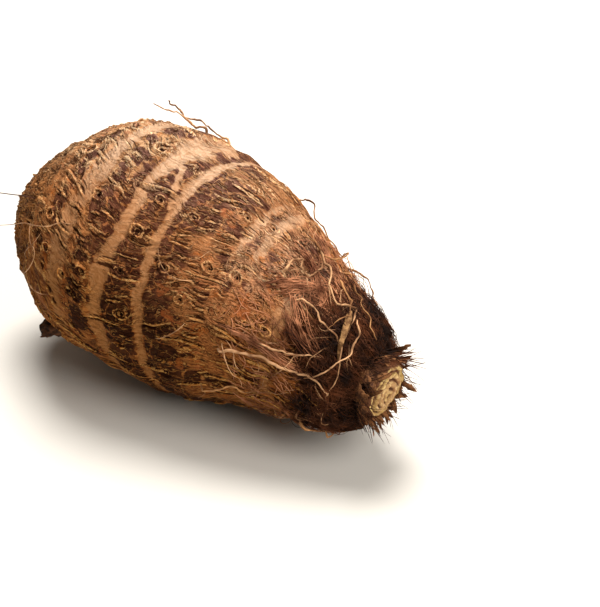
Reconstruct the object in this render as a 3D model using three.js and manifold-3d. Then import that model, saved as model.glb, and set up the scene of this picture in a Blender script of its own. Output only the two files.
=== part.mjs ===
// A whole taro root (corm), grown as one body: its leaf-scar rings, fibre ridges, bud eyes,
// basal scar stub, trimmed crown stub, sheath fibres and rootlets are all fused into it.
// Millimetres, +Z up. +X runs from the basal end to the crown. The corm lies on a small flat
// spot at z = 0, and the origin is the bottom centre of its box.

import * as THREE from "three";
import { mergeVertices } from "three/addons/utils/BufferGeometryUtils.js";
import Module from "manifold-3d";

const wasm = await Module();
wasm.setup();

// ---- Driving dimensions ----

// The axis: a slow bow to the side and up, which sinks towards the crown.
const LENGTH = 173.2;
const SIDE_BOW = 5.2;
const UP_BOW = 3.2;
const CROWN_DROP = 22.7;

// The girth: cosine terms of the radius, which a power of the sine rounds off at the ends.
const GIRTH_TERMS = [41.4, 6.1, -7.15, -3.1];
const BASAL_BLUNTNESS = 0.76;
const CROWN_BLUNTNESS = 0.67;
const OVALNESS = -0.023;

// The basal end face leans: its top is pushed towards the crown.
const BASAL_LEAN = 0.195;
const BASAL_LEAN_END = 0.35;

// Where the origin lies, measured from the middle of the axis, and the level it rests at.
const ORIGIN = new THREE.Vector3(2.7, 4.7, -56.9);

// The mesh of the skin. Every second side carries a line of fibre ridges.
const SKIN_RINGS = 43;
const SKIN_SIDES = 80;
const RING_EVENNESS = 0.1;
const POLE_FADE = 0.03;

// Leaf-scar rings, as stations from 0 at the basal end to 1 at the crown: a shallow groove
// each, deeper and closer towards the ends, swung along the axis by their slant.
const SCAR_RINGS = [
  { station: 0.05, slant: 0, depth: 0.9, halfWidth: 4 },
  { station: 0.16, slant: 0.01, depth: 1.1, halfWidth: 4 },
  { station: 0.335, slant: 0.01, depth: 0.9, halfWidth: 5 },
  { station: 0.439, slant: 0.03, depth: 1.2, halfWidth: 5 },
  { station: 0.535, slant: 0, depth: 1.1, halfWidth: 4 },
  { station: 0.675, slant: 0.005, depth: 0.8, halfWidth: 4 },
  { station: 0.735, slant: 0.01, depth: 0.6, halfWidth: 3.5 },
  { station: 0.81, slant: 0, depth: 1.0, halfWidth: 4 },
  { station: 0.885, slant: 0, depth: 1.1, halfWidth: 4 },
];

// Low swellings of the flesh: waves round and along it, each lower than the one before.
const SWELLINGS = 7;
const SWELLING_HEIGHT = 0.9;
const SWELLING_DECLINE = 0.35;
const SWELLINGS_AROUND = 4;
const SWELLING_HALF_WAVES = [2, 7];

// Bud eyes: [station, angle in degrees, radius of the rim's crest]. The angle is 90 at the
// top and 180 on the -Y side. The far side's eyes follow a leaf spiral.
const FRONT_EYES = [
  [0.265, 111, 2.6], [0.25, 147, 2.2], [0.273, 162, 1.9], [0.336, 169, 1.8],
  [0.374, 131, 2.2], [0.393, 163, 2.1], [0.429, 98, 2.8], [0.479, 156, 1.8],
  [0.49, 137, 2.4], [0.492, 175, 2.2], [0.505, 120, 1.8], [0.524, 98, 1.6],
  [0.567, 146, 1.9], [0.579, 118, 1.7], [0.62, 156, 1.7], [0.651, 135, 2.0],
  [0.656, 98, 1.6], [0.704, 90, 1.9], [0.71, 131, 2.3], [0.767, 152, 1.6],
  [0.8, 150, 1.7],
];
const FAR_EYES = 13;
const FAR_EYE_STATIONS = [0.22, 0.8];
const FAR_EYE_ANGLES = [195, 425];
const LEAF_SPIRAL = 137.5;
const FAR_EYE_RADIUS = 2;
const EYE_RIM = { width: 1.4, height: 1.1, pit: 0.3, sunk: 1.2, sides: 6, stretch: 1.25 };

// Fibre ridges along the axis: each covers a run of skin rings, then leaves a gap. They die
// out on the scar rings, and sway together by a part of a side's width.
const RIDGE_HEIGHTS = [0.7, 1.5];
const RIDGE_RUNS = [2, 5];
const RIDGE_GAPS = [1, 2.5];
const RIDGE_SWAY = 0.55;
const RIDGE_WAVES = { along: 7, around: 3 };

// Rootlets whose routes are known: [station, angle in degrees, height over the skin].
const KNOWN_ROOTLETS = [
  {
    radius: 1.0,
    route: [
      [0.765, 111, -2], [0.778, 108, 1.4], [0.773, 100, 2], [0.783, 93, 1.6],
      [0.792, 99, 2.2], [0.818, 98, 1.4], [0.815, 84, 1.6], [0.805, 76, 1.0],
    ],
  },
  {
    radius: 1.0,
    route: [
      [0.765, 70, -2], [0.785, 73, 1.6], [0.812, 79, 2.2], [0.831, 80, 2.4],
      [0.859, 95, 2.6], [0.892, 100, 3], [0.91, 93, 3.2], [0.922, 87, 3],
      [0.93, 101, 2.6], [0.937, 118, 2.4], [0.945, 134, 2.6], [0.948, 152, 2.6],
      [0.945, 168, 2.4], [0.935, 184, 1.4],
    ],
  },
  {
    radius: 0.85,
    route: [
      [0.925, 86, -1], [0.94, 103, 4.4], [0.953, 116, 5], [0.953, 130, 4.6],
      [0.935, 146, 4.4], [0.918, 160, 3.4], [0.886, 173, 1.2],
    ],
  },
  {
    radius: 1.1,
    route: [
      [0.7, 174, -2], [0.722, 172, 1.8], [0.766, 167, 2.2], [0.806, 166, 2.4],
      [0.853, 167, 2.6], [0.893, 166, 2.8], [0.92, 169, 3], [0.939, 180, 1.6],
    ],
  },
  {
    radius: 0.8,
    route: [
      [0.82, 121, -2], [0.842, 119, 2.2], [0.865, 117, 3.2], [0.892, 122, 3.4],
      [0.925, 125, 2.6], [0.94, 127, -1],
    ],
  },
  {
    radius: 0.8,
    route: [
      [0.775, 160, -2], [0.803, 158, 1.8], [0.858, 155, 2.2], [0.9, 147, 2],
      [0.915, 145, 0.8],
    ],
  },
];

// The other rootlets, drawn by rule: most of them stand near the crown.
const DRAWN_ROOTLETS = 20;
const ROOTLET = { sides: 4, sunk: 2, taper: 0.6, steps: 6, radii: [0.75, 1.05] };
const ROOTLET_STATIONS = [0.5, 0.94];
const LAST_ROOTLET_STATION = 0.97;
const ROOTLET_ANGLES = [188, 432];
const ROOTLET_CROWDING = 0.4;
const ROOTLET_STEP = 5;
const ROOTLET_HEIGHTS = [1.4, 4.5];
const ROOTLET_HEADINGS = [-1.4, 1.4];
const ROOTLET_TURNS = [-0.8, 0.8];

// Dry sheath fibres that lie forward round the crown, with their tips free.
const SHEATH_FIBRES = 13;
const SHEATH = { sides: 3, radius: 0.95, steps: 4, station: 0.84, reach: 0.13 };
const SHEATH_LIFTS = [1.3, 3.2];
const SHEATH_TWISTS = [-0.3, 0.3];
const SHEATH_SPREAD = [0, 0.8];
const SHEATH_LEVEL = 0.3;

// The trimmed leaf base at the crown, and the scar stub low on the basal end. A profile's
// points are shares of the stub's radius and of its height over the skin.
const CROWN_STUB = { radius: 10.8, sunk: 9, proud: 5.6, sides: 13 };
const CROWN_TILT = 0.13;
const CROWN_PROFILE = [[1, 0.3], [0.86, 0.85], [0.72, 0.8], [0.66, 0.55], [0.5, 1], [0, 0.9]];
const BASAL_STUB = { radius: 5, sunk: 5, proud: 7.5, sides: 7 };
const BASAL_STUB_PLACE = { station: 0.255, angle: 210, lean: -0.5 };
const BASAL_PROFILE = [[0.9, 0.2], [0.6, 0.75], [0, 1]];

// Nothing but the flat spot comes nearer the table than this.
const TABLE_CLEARANCE = 0.4;

const SKIN_COLOUR = 0x8f5f3f;
const SKIN_ROUGHNESS = 0.9;

// ---- Small helpers ----

const WELD_DISTANCE = 1e-4;
const SMALL_STEP = 1e-3;
const UPRIGHT = new THREE.Vector3(0, 1, 0);
const TUBE_REFERENCE = new THREE.Vector3(0.3, 0.2, 1);
const radians = THREE.MathUtils.degToRad;

// A seeded draw: the same numbers on every run.
function makeDraw(seed) {
  let state = seed;
  return function draw(low, high) {
    state = (Math.imul(state, 1664525) + 1013904223) >>> 0;
    return low + ((high - low) * state) / 2 ** 32;
  };
}

// A closed three.js geometry as a solid that can be joined and cut.
function solidOf(geometry) {
  geometry.deleteAttribute("normal");
  geometry.deleteAttribute("uv");
  const welded = mergeVertices(geometry, WELD_DISTANCE);
  return new wasm.Manifold(
    new wasm.Mesh({
      numProp: 3,
      vertProperties: new Float32Array(welded.attributes.position.array),
      triVerts: new Uint32Array(welded.index.array),
    }),
  );
}

// A closed skin over rings of points, which run counterclockwise seen from the end pole.
function loft(startPole, rings, endPole) {
  const sides = rings[0].length;
  const points = [startPole, ...rings.flat(), endPole];
  const last = points.length - 1;
  const faces = [];
  for (let side = 0; side < sides; side++) {
    const next = (side + 1) % sides;
    faces.push(0, 1 + next, 1 + side);
    faces.push(last, last - sides + side, last - sides + next);
    for (let ring = 0; ring + 1 < rings.length; ring++) {
      const a = 1 + ring * sides + side;
      const b = 1 + ring * sides + next;
      faces.push(a, b, b + sides);
      faces.push(a, b + sides, a + sides);
    }
  }
  const geometry = new THREE.BufferGeometry();
  geometry.setFromPoints(points);
  geometry.setIndex(faces);
  return geometry;
}

// ---- The skin as a formula ----

const swellings = drawSwellings();

function drawSwellings() {
  const draw = makeDraw(11);
  return Array.from({ length: SWELLINGS }, (_, i) => ({
    around: 1 + (i % SWELLINGS_AROUND),
    along: Math.PI * draw(...SWELLING_HALF_WAVES),
    phase: draw(0, 2 * Math.PI),
    height: SWELLING_HEIGHT / (1 + SWELLING_DECLINE * i),
  }));
}

function swellingHeight(station, angle) {
  return swellings.reduce((sum, one) => {
    const wave = one.around * angle + one.along * station + one.phase;
    return sum + one.height * Math.sin(wave);
  }, 0);
}

function ringStation(ring, angle) {
  return ring.station + ring.slant * Math.sin(angle);
}

function scarDepth(station, angle) {
  return SCAR_RINGS.reduce((sum, ring) => {
    const distance = ((station - ringStation(ring, angle)) * LENGTH) / ring.halfWidth;
    return sum + ring.depth * Math.exp(-distance * distance);
  }, 0);
}

function girthRadius(station) {
  const turn = Math.acos(1 - 2 * station);
  const bluntness = BASAL_BLUNTNESS * (1 - station) + CROWN_BLUNTNESS * station;
  const series = GIRTH_TERMS.reduce((sum, term, k) => sum + term * Math.cos(k * turn), 0);
  return Math.sin(turn) ** bluntness * series;
}

// The relief dies out at the two poles, where the skin closes.
function reliefFade(station) {
  return Math.min(1, station / POLE_FADE, (1 - station) / POLE_FADE);
}

// How much of its height a fibre ridge keeps: none on a scar ring or at a pole.
function ridgeShare(station, angle) {
  return Math.max(0, 1 - scarDepth(station, angle)) * reliefFade(station);
}

function skinPoint(station, angle) {
  const smooth = girthRadius(station);
  const relief = swellingHeight(station, angle) - scarDepth(station, angle);
  const radius = smooth + relief * reliefFade(station);
  const bow = 1 - 4 * (station - 0.5) ** 2;
  const lean = BASAL_LEAN * Math.max(0, 1 - station / BASAL_LEAN_END);
  return new THREE.Vector3(
    (station - 0.5) * LENGTH + lean * radius * Math.sin(angle),
    SIDE_BOW * bow + radius * Math.cos(angle) * (1 + OVALNESS),
    UP_BOW * bow - CROWN_DROP * station + radius * Math.sin(angle) * (1 - OVALNESS),
  ).sub(ORIGIN);
}

// At a point of the skin: out of it, along it to the crown, and round it.
function skinFrame(station, angle) {
  const at = skinPoint(station, angle);
  const along = skinPoint(station + SMALL_STEP, angle).sub(at).normalize();
  const around = skinPoint(station, angle + SMALL_STEP).sub(at).normalize();
  const out = new THREE.Vector3().crossVectors(around, along).normalize();
  around.crossVectors(along, out);
  return { at, along, around, out };
}

function overSkin(station, angle, height) {
  const frame = skinFrame(station, angle);
  return frame.at.addScaledVector(frame.out, height);
}

// ---- The sub-parts ----

function ringStations() {
  return Array.from({ length: SKIN_RINGS - 1 }, (_, i) => {
    const even = (i + 1) / SKIN_RINGS;
    const turn = Math.PI * even + RING_EVENNESS * Math.sin(2 * Math.PI * even);
    return (1 - Math.cos(turn)) / 2;
  });
}

// Ridge heights for one side's line, ring by ring.
function drawRidgeLine(draw, ringCount) {
  const heights = new Array(ringCount).fill(0);
  let ring = Math.floor(draw(0, RIDGE_RUNS[1]));
  while (ring < ringCount) {
    const run = Math.floor(draw(...RIDGE_RUNS));
    const height = draw(...RIDGE_HEIGHTS);
    heights.fill(height, ring, ring + run);
    ring += run + Math.floor(draw(...RIDGE_GAPS));
  }
  return heights;
}

function makeFlesh() {
  const draw = makeDraw(23);
  const stations = ringStations();
  const lines = Array.from({ length: SKIN_SIDES }, (_, side) =>
    side % 2 ? new Array(stations.length).fill(0) : drawRidgeLine(draw, stations.length),
  );
  const rings = stations.map((station, ring) =>
    lines.map((heights, side) => {
      const turn = (2 * Math.PI * side) / SKIN_SIDES;
      const wave = RIDGE_WAVES.along * 2 * Math.PI * station + RIDGE_WAVES.around * turn;
      const angle = turn + (RIDGE_SWAY * 2 * Math.PI * Math.sin(wave)) / SKIN_SIDES;
      const height = heights[ring] * ridgeShare(station, angle);
      return overSkin(station, angle, height);
    }),
  );
  return solidOf(loft(skinPoint(0, 0), rings, skinPoint(1, 0)));
}

// A raised rim round a pit, sunk into the skin.
function makeEye([station, degrees, radius]) {
  const { at, along, around, out } = skinFrame(station, radians(degrees));
  const profile = [
    new THREE.Vector2(0, -EYE_RIM.sunk),
    new THREE.Vector2(radius + EYE_RIM.width, -EYE_RIM.sunk),
    new THREE.Vector2(radius, EYE_RIM.height),
    new THREE.Vector2(0, EYE_RIM.pit),
  ];
  const geometry = new THREE.LatheGeometry(profile, EYE_RIM.sides);
  const lengthwise = along.multiplyScalar(EYE_RIM.stretch);
  geometry.applyMatrix4(new THREE.Matrix4().makeBasis(lengthwise, out, around).setPosition(at));
  return solidOf(geometry);
}

function farEyes() {
  const [firstStation, lastStation] = FAR_EYE_STATIONS;
  const [firstAngle, lastAngle] = FAR_EYE_ANGLES;
  return Array.from({ length: FAR_EYES }, (_, i) => [
    firstStation + ((lastStation - firstStation) * i) / (FAR_EYES - 1),
    firstAngle + ((i * LEAF_SPIRAL) % (lastAngle - firstAngle)),
    FAR_EYE_RADIUS,
  ]);
}

// A thin tapering tube through points, square to its route at each of them.
function makeTube(points, radius, sides) {
  const rings = [];
  const lastPoint = points.length - 1;
  for (let i = 1; i < lastPoint; i++) {
    const ahead = new THREE.Vector3().subVectors(points[i + 1], points[i - 1]).normalize();
    const side = new THREE.Vector3().crossVectors(ahead, TUBE_REFERENCE).normalize();
    const up = new THREE.Vector3().crossVectors(ahead, side);
    const size = radius * (1 - ((1 - ROOTLET.taper) * i) / lastPoint);
    rings.push(
      Array.from({ length: sides }, (_, k) => {
        const turn = (2 * Math.PI * k) / sides;
        return points[i]
          .clone()
          .addScaledVector(side, size * Math.cos(turn))
          .addScaledVector(up, size * Math.sin(turn));
      }),
    );
  }
  return solidOf(loft(points[0], rings, points[lastPoint]));
}

function clearOfTable(point, radius) {
  point.z = Math.max(point.z, radius + TABLE_CLEARANCE);
  return point;
}

function makeKnownRootlet({ radius, route }) {
  const points = route.map(([station, degrees, height]) =>
    clearOfTable(overSkin(station, radians(degrees), height), radius),
  );
  return makeTube(points, radius, ROOTLET.sides);
}

// A rootlet that leaves the skin, turns this way and that over it, and ends near it.
function makeDrawnRootlet(draw) {
  const [lowStation, highStation] = ROOTLET_STATIONS;
  let station = lowStation + (highStation - lowStation) * draw(0, 1) ** ROOTLET_CROWDING;
  let angle = radians(draw(...ROOTLET_ANGLES));
  let heading = draw(...ROOTLET_HEADINGS);
  const radius = draw(...ROOTLET.radii);
  const points = [overSkin(station, angle, -ROOTLET.sunk)];
  for (let step = 0; step < ROOTLET.steps; step++) {
    const ahead = (ROOTLET_STEP * Math.cos(heading)) / LENGTH;
    station = Math.min(LAST_ROOTLET_STATION, station + ahead);
    angle += (ROOTLET_STEP * Math.sin(heading)) / girthRadius(station);
    heading += draw(...ROOTLET_TURNS);
    points.push(clearOfTable(overSkin(station, angle, draw(...ROOTLET_HEIGHTS)), radius));
  }
  return makeTube(points, radius, ROOTLET.sides);
}

function makeRootlets() {
  const draw = makeDraw(37);
  return [
    ...KNOWN_ROOTLETS.map(makeKnownRootlet),
    ...Array.from({ length: DRAWN_ROOTLETS }, () => makeDrawnRootlet(draw)),
  ];
}

function makeSheathFibres() {
  const draw = makeDraw(53);
  return Array.from({ length: SHEATH_FIBRES }, (_, i) => {
    const angle = (2 * Math.PI * (i + draw(...SHEATH_SPREAD))) / SHEATH_FIBRES;
    const twist = draw(...SHEATH_TWISTS);
    const lift = draw(...SHEATH_LIFTS);
    const points = Array.from({ length: SHEATH.steps + 1 }, (_, step) => {
      const part = step / SHEATH.steps;
      const height = step === 0 ? -ROOTLET.sunk : SHEATH_LEVEL + lift * part * part;
      const station = SHEATH.station + SHEATH.reach * part;
      return clearOfTable(overSkin(station, angle + twist * part, height), SHEATH.radius);
    });
    return makeTube(points, SHEATH.radius, SHEATH.sides);
  });
}

// A turned stub about +Y, which stands proud of the skin at the origin.
function makeStub({ radius, sunk, proud, sides }, outline) {
  const profile = [
    new THREE.Vector2(0, -sunk),
    new THREE.Vector2(radius, -sunk),
    ...outline.map(([across, up]) => new THREE.Vector2(across * radius, up * proud)),
  ];
  return new THREE.LatheGeometry(profile, sides);
}

// Two rings of cut leaf bases round the heart, facing along +X.
function makeCrownStub() {
  const geometry = makeStub(CROWN_STUB, CROWN_PROFILE);
  geometry.rotateZ(-Math.PI / 2);
  geometry.rotateY(CROWN_TILT);
  const tip = skinPoint(1, 0);
  geometry.translate(tip.x, tip.y, tip.z);
  return solidOf(geometry);
}

// The jagged scar where the corm grew from its mother, low on the basal end.
function makeBasalStub() {
  const { station, angle, lean } = BASAL_STUB_PLACE;
  const { at, along, out } = skinFrame(station, radians(angle));
  const aim = out.addScaledVector(along, lean).normalize();
  const geometry = makeStub(BASAL_STUB, BASAL_PROFILE);
  geometry.applyQuaternion(new THREE.Quaternion().setFromUnitVectors(UPRIGHT, aim));
  geometry.translate(at.x, at.y, at.z);
  return solidOf(geometry);
}

// All that lies under the level the corm rests at.
function makeTableBlock() {
  const geometry = new THREE.BoxGeometry(2 * LENGTH, 2 * LENGTH, LENGTH);
  geometry.translate(0, 0, -LENGTH / 2);
  return solidOf(geometry);
}

// ---- The corm as one body ----

function largestBody(solid) {
  return solid.decompose().reduce((best, one) => (one.volume() > best.volume() ? one : best));
}

function makeCormGeometry() {
  const pieces = [
    makeCrownStub(),
    makeBasalStub(),
    ...[...FRONT_EYES, ...farEyes()].map(makeEye),
    ...makeSheathFibres(),
    ...makeRootlets(),
  ];
  const joined = pieces.reduce((body, piece) => body.add(piece), makeFlesh());
  const corm = largestBody(joined.subtract(makeTableBlock()));
  const mesh = corm.getMesh();
  const geometry = new THREE.BufferGeometry();
  geometry.setAttribute("position", new THREE.BufferAttribute(mesh.vertProperties, mesh.numProp));
  geometry.setIndex(new THREE.BufferAttribute(mesh.triVerts, 1));
  geometry.computeVertexNormals();
  return geometry;
}

const skinMaterial = new THREE.MeshStandardMaterial({
  color: SKIN_COLOUR,
  roughness: SKIN_ROUGHNESS,
  metalness: 0,
});

const corm = new THREE.Mesh(makeCormGeometry(), skinMaterial);
corm.name = "corm";

const taroRoot = new THREE.Group();
taroRoot.add(corm);

export default taroRoot;
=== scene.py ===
"""A whole taro root: ridged skin, bud eyes, rootlets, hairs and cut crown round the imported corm."""
import bpy
import math
import numpy as np
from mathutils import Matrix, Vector


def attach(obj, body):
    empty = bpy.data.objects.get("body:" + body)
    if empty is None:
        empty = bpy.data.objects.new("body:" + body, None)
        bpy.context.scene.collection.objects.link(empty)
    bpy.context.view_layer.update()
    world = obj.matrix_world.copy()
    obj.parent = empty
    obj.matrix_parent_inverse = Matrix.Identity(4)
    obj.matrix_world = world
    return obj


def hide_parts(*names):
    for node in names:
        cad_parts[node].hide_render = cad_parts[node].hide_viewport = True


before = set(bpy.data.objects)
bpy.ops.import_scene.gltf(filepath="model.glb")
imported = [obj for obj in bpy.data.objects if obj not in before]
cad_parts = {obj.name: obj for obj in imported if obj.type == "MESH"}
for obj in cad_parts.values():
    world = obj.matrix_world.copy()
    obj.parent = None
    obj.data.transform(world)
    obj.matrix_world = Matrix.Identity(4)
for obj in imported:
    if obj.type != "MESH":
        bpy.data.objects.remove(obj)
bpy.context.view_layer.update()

MM = 0.001

# ---- The corm's driving dimensions, in millimetres, as in the part's source ----

LENGTH = 173.2
SIDE_BOW = 5.2
UP_BOW = 3.2
CROWN_DROP = 22.7
GIRTH_TERMS = (41.4, 6.1, -7.15, -3.1)
BASAL_BLUNTNESS = 0.76
CROWN_BLUNTNESS = 0.67
OVALNESS = -0.023
BASAL_LEAN = 0.195
BASAL_LEAN_END = 0.35
ORIGIN = np.array((2.7, 4.7, -56.9))
POLE_FADE = 0.03
SMALL_STEP = 1e-3

# Leaf-scar rings: station, slant, depth, half width.
SCAR_RINGS = (
    (0.05, 0, 0.9, 4), (0.16, 0.01, 1.1, 4), (0.335, 0.01, 0.9, 5),
    (0.439, 0.03, 1.2, 5), (0.535, 0, 1.1, 4), (0.675, 0.005, 0.8, 4),
    (0.735, 0.01, 0.6, 3.5), (0.81, 0, 1.0, 4), (0.885, 0, 1.1, 4),
)

SWELLINGS = 7
SWELLING_HEIGHT = 0.9
SWELLING_DECLINE = 0.35
SWELLINGS_AROUND = 4
SWELLING_HALF_WAVES = (2, 7)

# Bud eyes: station, angle in degrees, radius of the rim's crest.
FRONT_EYES = (
    (0.265, 111, 2.6), (0.25, 147, 2.2), (0.273, 162, 1.9), (0.336, 169, 1.8),
    (0.374, 131, 2.2), (0.393, 163, 2.1), (0.429, 98, 2.8), (0.479, 156, 1.8),
    (0.49, 137, 2.4), (0.492, 175, 2.2), (0.505, 120, 1.8), (0.524, 98, 1.6),
    (0.567, 146, 1.9), (0.579, 118, 1.7), (0.62, 156, 1.7), (0.651, 135, 2.0),
    (0.656, 98, 1.6), (0.704, 90, 1.9), (0.71, 131, 2.3), (0.767, 152, 1.6),
    (0.8, 150, 1.7),
)
FAR_EYES = 13
FAR_EYE_STATIONS = (0.22, 0.8)
FAR_EYE_ANGLES = (195, 425)
LEAF_SPIRAL = 137.5
FAR_EYE_RADIUS = 2

# Rootlets whose routes are known: radius, then station, angle in degrees, height over the skin.
KNOWN_ROOTLETS = (
    (1.0, ((0.765, 111, -2), (0.778, 108, 1.4), (0.773, 100, 2), (0.783, 93, 1.6),
           (0.792, 99, 2.2), (0.818, 98, 1.4), (0.815, 84, 1.6), (0.805, 76, 1.0))),
    (1.0, ((0.765, 70, -2), (0.785, 73, 1.6), (0.812, 79, 2.2), (0.831, 80, 2.4),
           (0.859, 95, 2.6), (0.892, 100, 3), (0.91, 93, 3.2), (0.922, 87, 3),
           (0.93, 101, 2.6), (0.937, 118, 2.4), (0.945, 134, 2.6), (0.948, 152, 2.6),
           (0.945, 168, 2.4), (0.935, 184, 1.4))),
    (0.85, ((0.925, 86, -1), (0.94, 103, 4.4), (0.953, 116, 5), (0.953, 130, 4.6),
            (0.935, 146, 4.4), (0.918, 160, 3.4), (0.886, 173, 1.2))),
    (1.1, ((0.7, 174, -2), (0.722, 172, 1.8), (0.766, 167, 2.2), (0.806, 166, 2.4),
           (0.853, 167, 2.6), (0.893, 166, 2.8), (0.92, 169, 3), (0.939, 180, 1.6))),
    (0.8, ((0.82, 121, -2), (0.842, 119, 2.2), (0.865, 117, 3.2), (0.892, 122, 3.4),
           (0.925, 125, 2.6), (0.94, 127, -1))),
    (0.8, ((0.775, 160, -2), (0.803, 158, 1.8), (0.858, 155, 2.2), (0.9, 147, 2),
           (0.915, 145, 0.8))),
)
# Two strands of one rootlet that springs from a bud on the upper edge and lies back over the corm.
UPPER_ROOTLETS = (
    (0.85, ((0.462, 58, -1.5), (0.454, 57.5, 1.2), (0.441, 56, 1.8), (0.427, 60, 1.6), (0.402, 61, 2.2),
            (0.372, 58, 4), (0.352, 59, 4.3), (0.351, 65, 3.9), (0.34, 66.8, 4.9), (0.314, 68.2, 5),
            (0.308, 74, 6.3), (0.303, 77, 7.5))),
    (1.1, ((0.41, 62, -0.5), (0.402, 62, 0.9), (0.381, 62.8, 1.2), (0.362, 61.5, 1.4), (0.354, 65.5, 3.8),
           (0.33, 63, 5.5), (0.309, 61, 6.6), (0.31, 67, 7.2), (0.319, 71, 9.2))),
)
DRAWN_ROOTLETS = 20
ROOTLET_SUNK = 2
ROOTLET_TAPER = 0.6
ROOTLET_STEPS = 6
ROOTLET_RADII = (0.75, 1.05)
ROOTLET_STATIONS = (0.5, 0.94)
LAST_ROOTLET_STATION = 0.97
ROOTLET_ANGLES = (188, 432)
ROOTLET_CROWDING = 0.4
ROOTLET_STEP = 5
ROOTLET_HEIGHTS = (1.4, 4.5)
ROOTLET_HEADINGS = (-1.4, 1.4)
ROOTLET_TURNS = (-0.8, 0.8)

SHEATH_FIBRES = 13
SHEATH_RADIUS = 0.95
SHEATH_STEPS = 4
SHEATH_STATION = 0.84
SHEATH_REACH = 0.13
SHEATH_LIFTS = (1.3, 3.2)
SHEATH_TWISTS = (-0.3, 0.3)
SHEATH_SPREAD = (0, 0.8)
SHEATH_LEVEL = 0.3

CROWN_RADIUS = 10.8
CROWN_PROUD = 5.6
CROWN_TILT = 0.13

BASAL_STUB_RADIUS = 5
BASAL_STUB_PROUD = 7.5
BASAL_STUB_PLACE = (0.255, 210)
BASAL_STUB_LEAN = -0.5

TABLE_CLEARANCE = 0.4


# ---- Draws and noise ----

# Seeds of the draws; the first three are those of the part's source.
SWELLING_SEED = 11
ROOTLET_SEED = 37
SHEATH_SEED = 53
MARKED_SLIT_SEED = 67
SLIT_SEED = 71
EYE_SEED = 83
SHEATH_STRAND_SEED = 89
HAIR_SEED = 97
BUNDLE_SEED = 101
TUFT_SEED = 103

DRAW_STEP = 1664525
DRAW_SHIFT = 1013904223
DRAW_RANGE = 2**32
LATTICE_PRIMES = (374761393, 668265263, 2147483647, 1442695041)
LATTICE_MIX = 1274126177
HALF_RANGE = 0xFFFF / 2


def make_draw(seed):
    """The same seeded draw as the part's source uses."""
    state = seed

    def draw(low, high):
        nonlocal state
        state = (state * DRAW_STEP + DRAW_SHIFT) % DRAW_RANGE
        return low + (high - low) * state / DRAW_RANGE

    return draw


def lattice_value(cell, seed):
    """A fixed value from -1 to 1 for each whole-numbered cell."""
    numbers = cell + (np.array(seed),)
    mixed = sum(number * prime for number, prime in zip(numbers, LATTICE_PRIMES))
    mixed = ((mixed ^ (mixed >> 13)) & 0xFFFFFFFF) * LATTICE_MIX
    mixed = (mixed ^ (mixed >> 16)) & 0xFFFF
    return mixed / HALF_RANGE - 1


def noise(points, size, seed):
    """Smooth noise from -1 to 1 at points, with features of the given size."""
    cells = np.asarray(points) / size
    corner = np.floor(cells).astype(np.int64)
    share = cells - corner
    share = share * share * (3 - 2 * share)
    total = 0
    for offset in np.ndindex(2, 2, 2):
        near = [np.abs(1 - offset[axis] - share[..., axis]) for axis in range(3)]
        cell = tuple(corner[..., axis] + offset[axis] for axis in range(3))
        total = total + near[0] * near[1] * near[2] * lattice_value(cell, seed)
    return total


def layered(points, *layers):
    """Noise of several kinds added up. A layer gives its strength, size and seed."""
    return sum(strength * noise(points, size, seed) for strength, size, seed in layers)


def noise_vector(points, size, first_seed):
    """Three values of noise at each point, to push it along x, y and z."""
    return np.stack([noise(points, size, first_seed + axis) for axis in range(3)], -1)


def step(value, low, high):
    """0 below low, 1 above high, and smooth between."""
    share = np.clip((value - low) / (high - low), 0, 1)
    return share * share * (3 - 2 * share)


def spread(shares, limits):
    return limits[0] + (limits[1] - limits[0]) * shares


def wrap(angle):
    return (angle + math.pi) % (2 * math.pi) - math.pi


# ---- The skin as a formula ----

def draw_swellings():
    """Rows of waves round, waves along, phase and height, as in the part's source."""
    draw = make_draw(SWELLING_SEED)
    rows = []
    for i in range(SWELLINGS):
        along = math.pi * draw(*SWELLING_HALF_WAVES)
        phase = draw(0, 2 * math.pi)
        height = SWELLING_HEIGHT / (1 + SWELLING_DECLINE * i)
        rows.append((1 + i % SWELLINGS_AROUND, along, phase, height))
    return rows


SWELLING_WAVES = draw_swellings()


def swelling_height(station, angle):
    return sum(
        height * np.sin(around * angle + along * station + phase)
        for around, along, phase, height in SWELLING_WAVES
    )


def scar_depth(station, angle):
    """How deep the leaf-scar rings lie."""
    total = 0
    for at, slant, depth, half_width in SCAR_RINGS:
        distance = (station - at - slant * np.sin(angle)) * LENGTH / half_width
        total = total + depth * np.exp(-distance * distance)
    return total


def girth_radius(station):
    """The corm's plain radius at a station from 0 at the basal pole to 1 at the crown."""
    turn = np.arccos(1 - 2 * np.asarray(station, float))
    bluntness = BASAL_BLUNTNESS * (1 - station) + CROWN_BLUNTNESS * station
    series = sum(term * np.cos(k * turn) for k, term in enumerate(GIRTH_TERMS))
    return np.sin(turn) ** bluntness * series


def skin_point(station, angle):
    """A point of the corm's skin, as in the part's source."""
    station = np.clip(station, 0, 1)
    fade = np.clip(np.minimum(station, 1 - station) / POLE_FADE, 0, 1)
    relief = swelling_height(station, angle) - scar_depth(station, angle)
    radius = girth_radius(station) + relief * fade
    bow = 1 - 4 * (station - 0.5) ** 2
    lean = BASAL_LEAN * np.maximum(0, 1 - station / BASAL_LEAN_END)
    x = (station - 0.5) * LENGTH + lean * radius * np.sin(angle)
    y = SIDE_BOW * bow + radius * np.cos(angle) * (1 + OVALNESS)
    z = UP_BOW * bow - CROWN_DROP * station + radius * np.sin(angle) * (1 - OVALNESS)
    return np.stack(np.broadcast_arrays(x, y, z), -1) - ORIGIN


def unit(vectors):
    return vectors / np.linalg.norm(vectors, axis=-1, keepdims=True)


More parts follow.
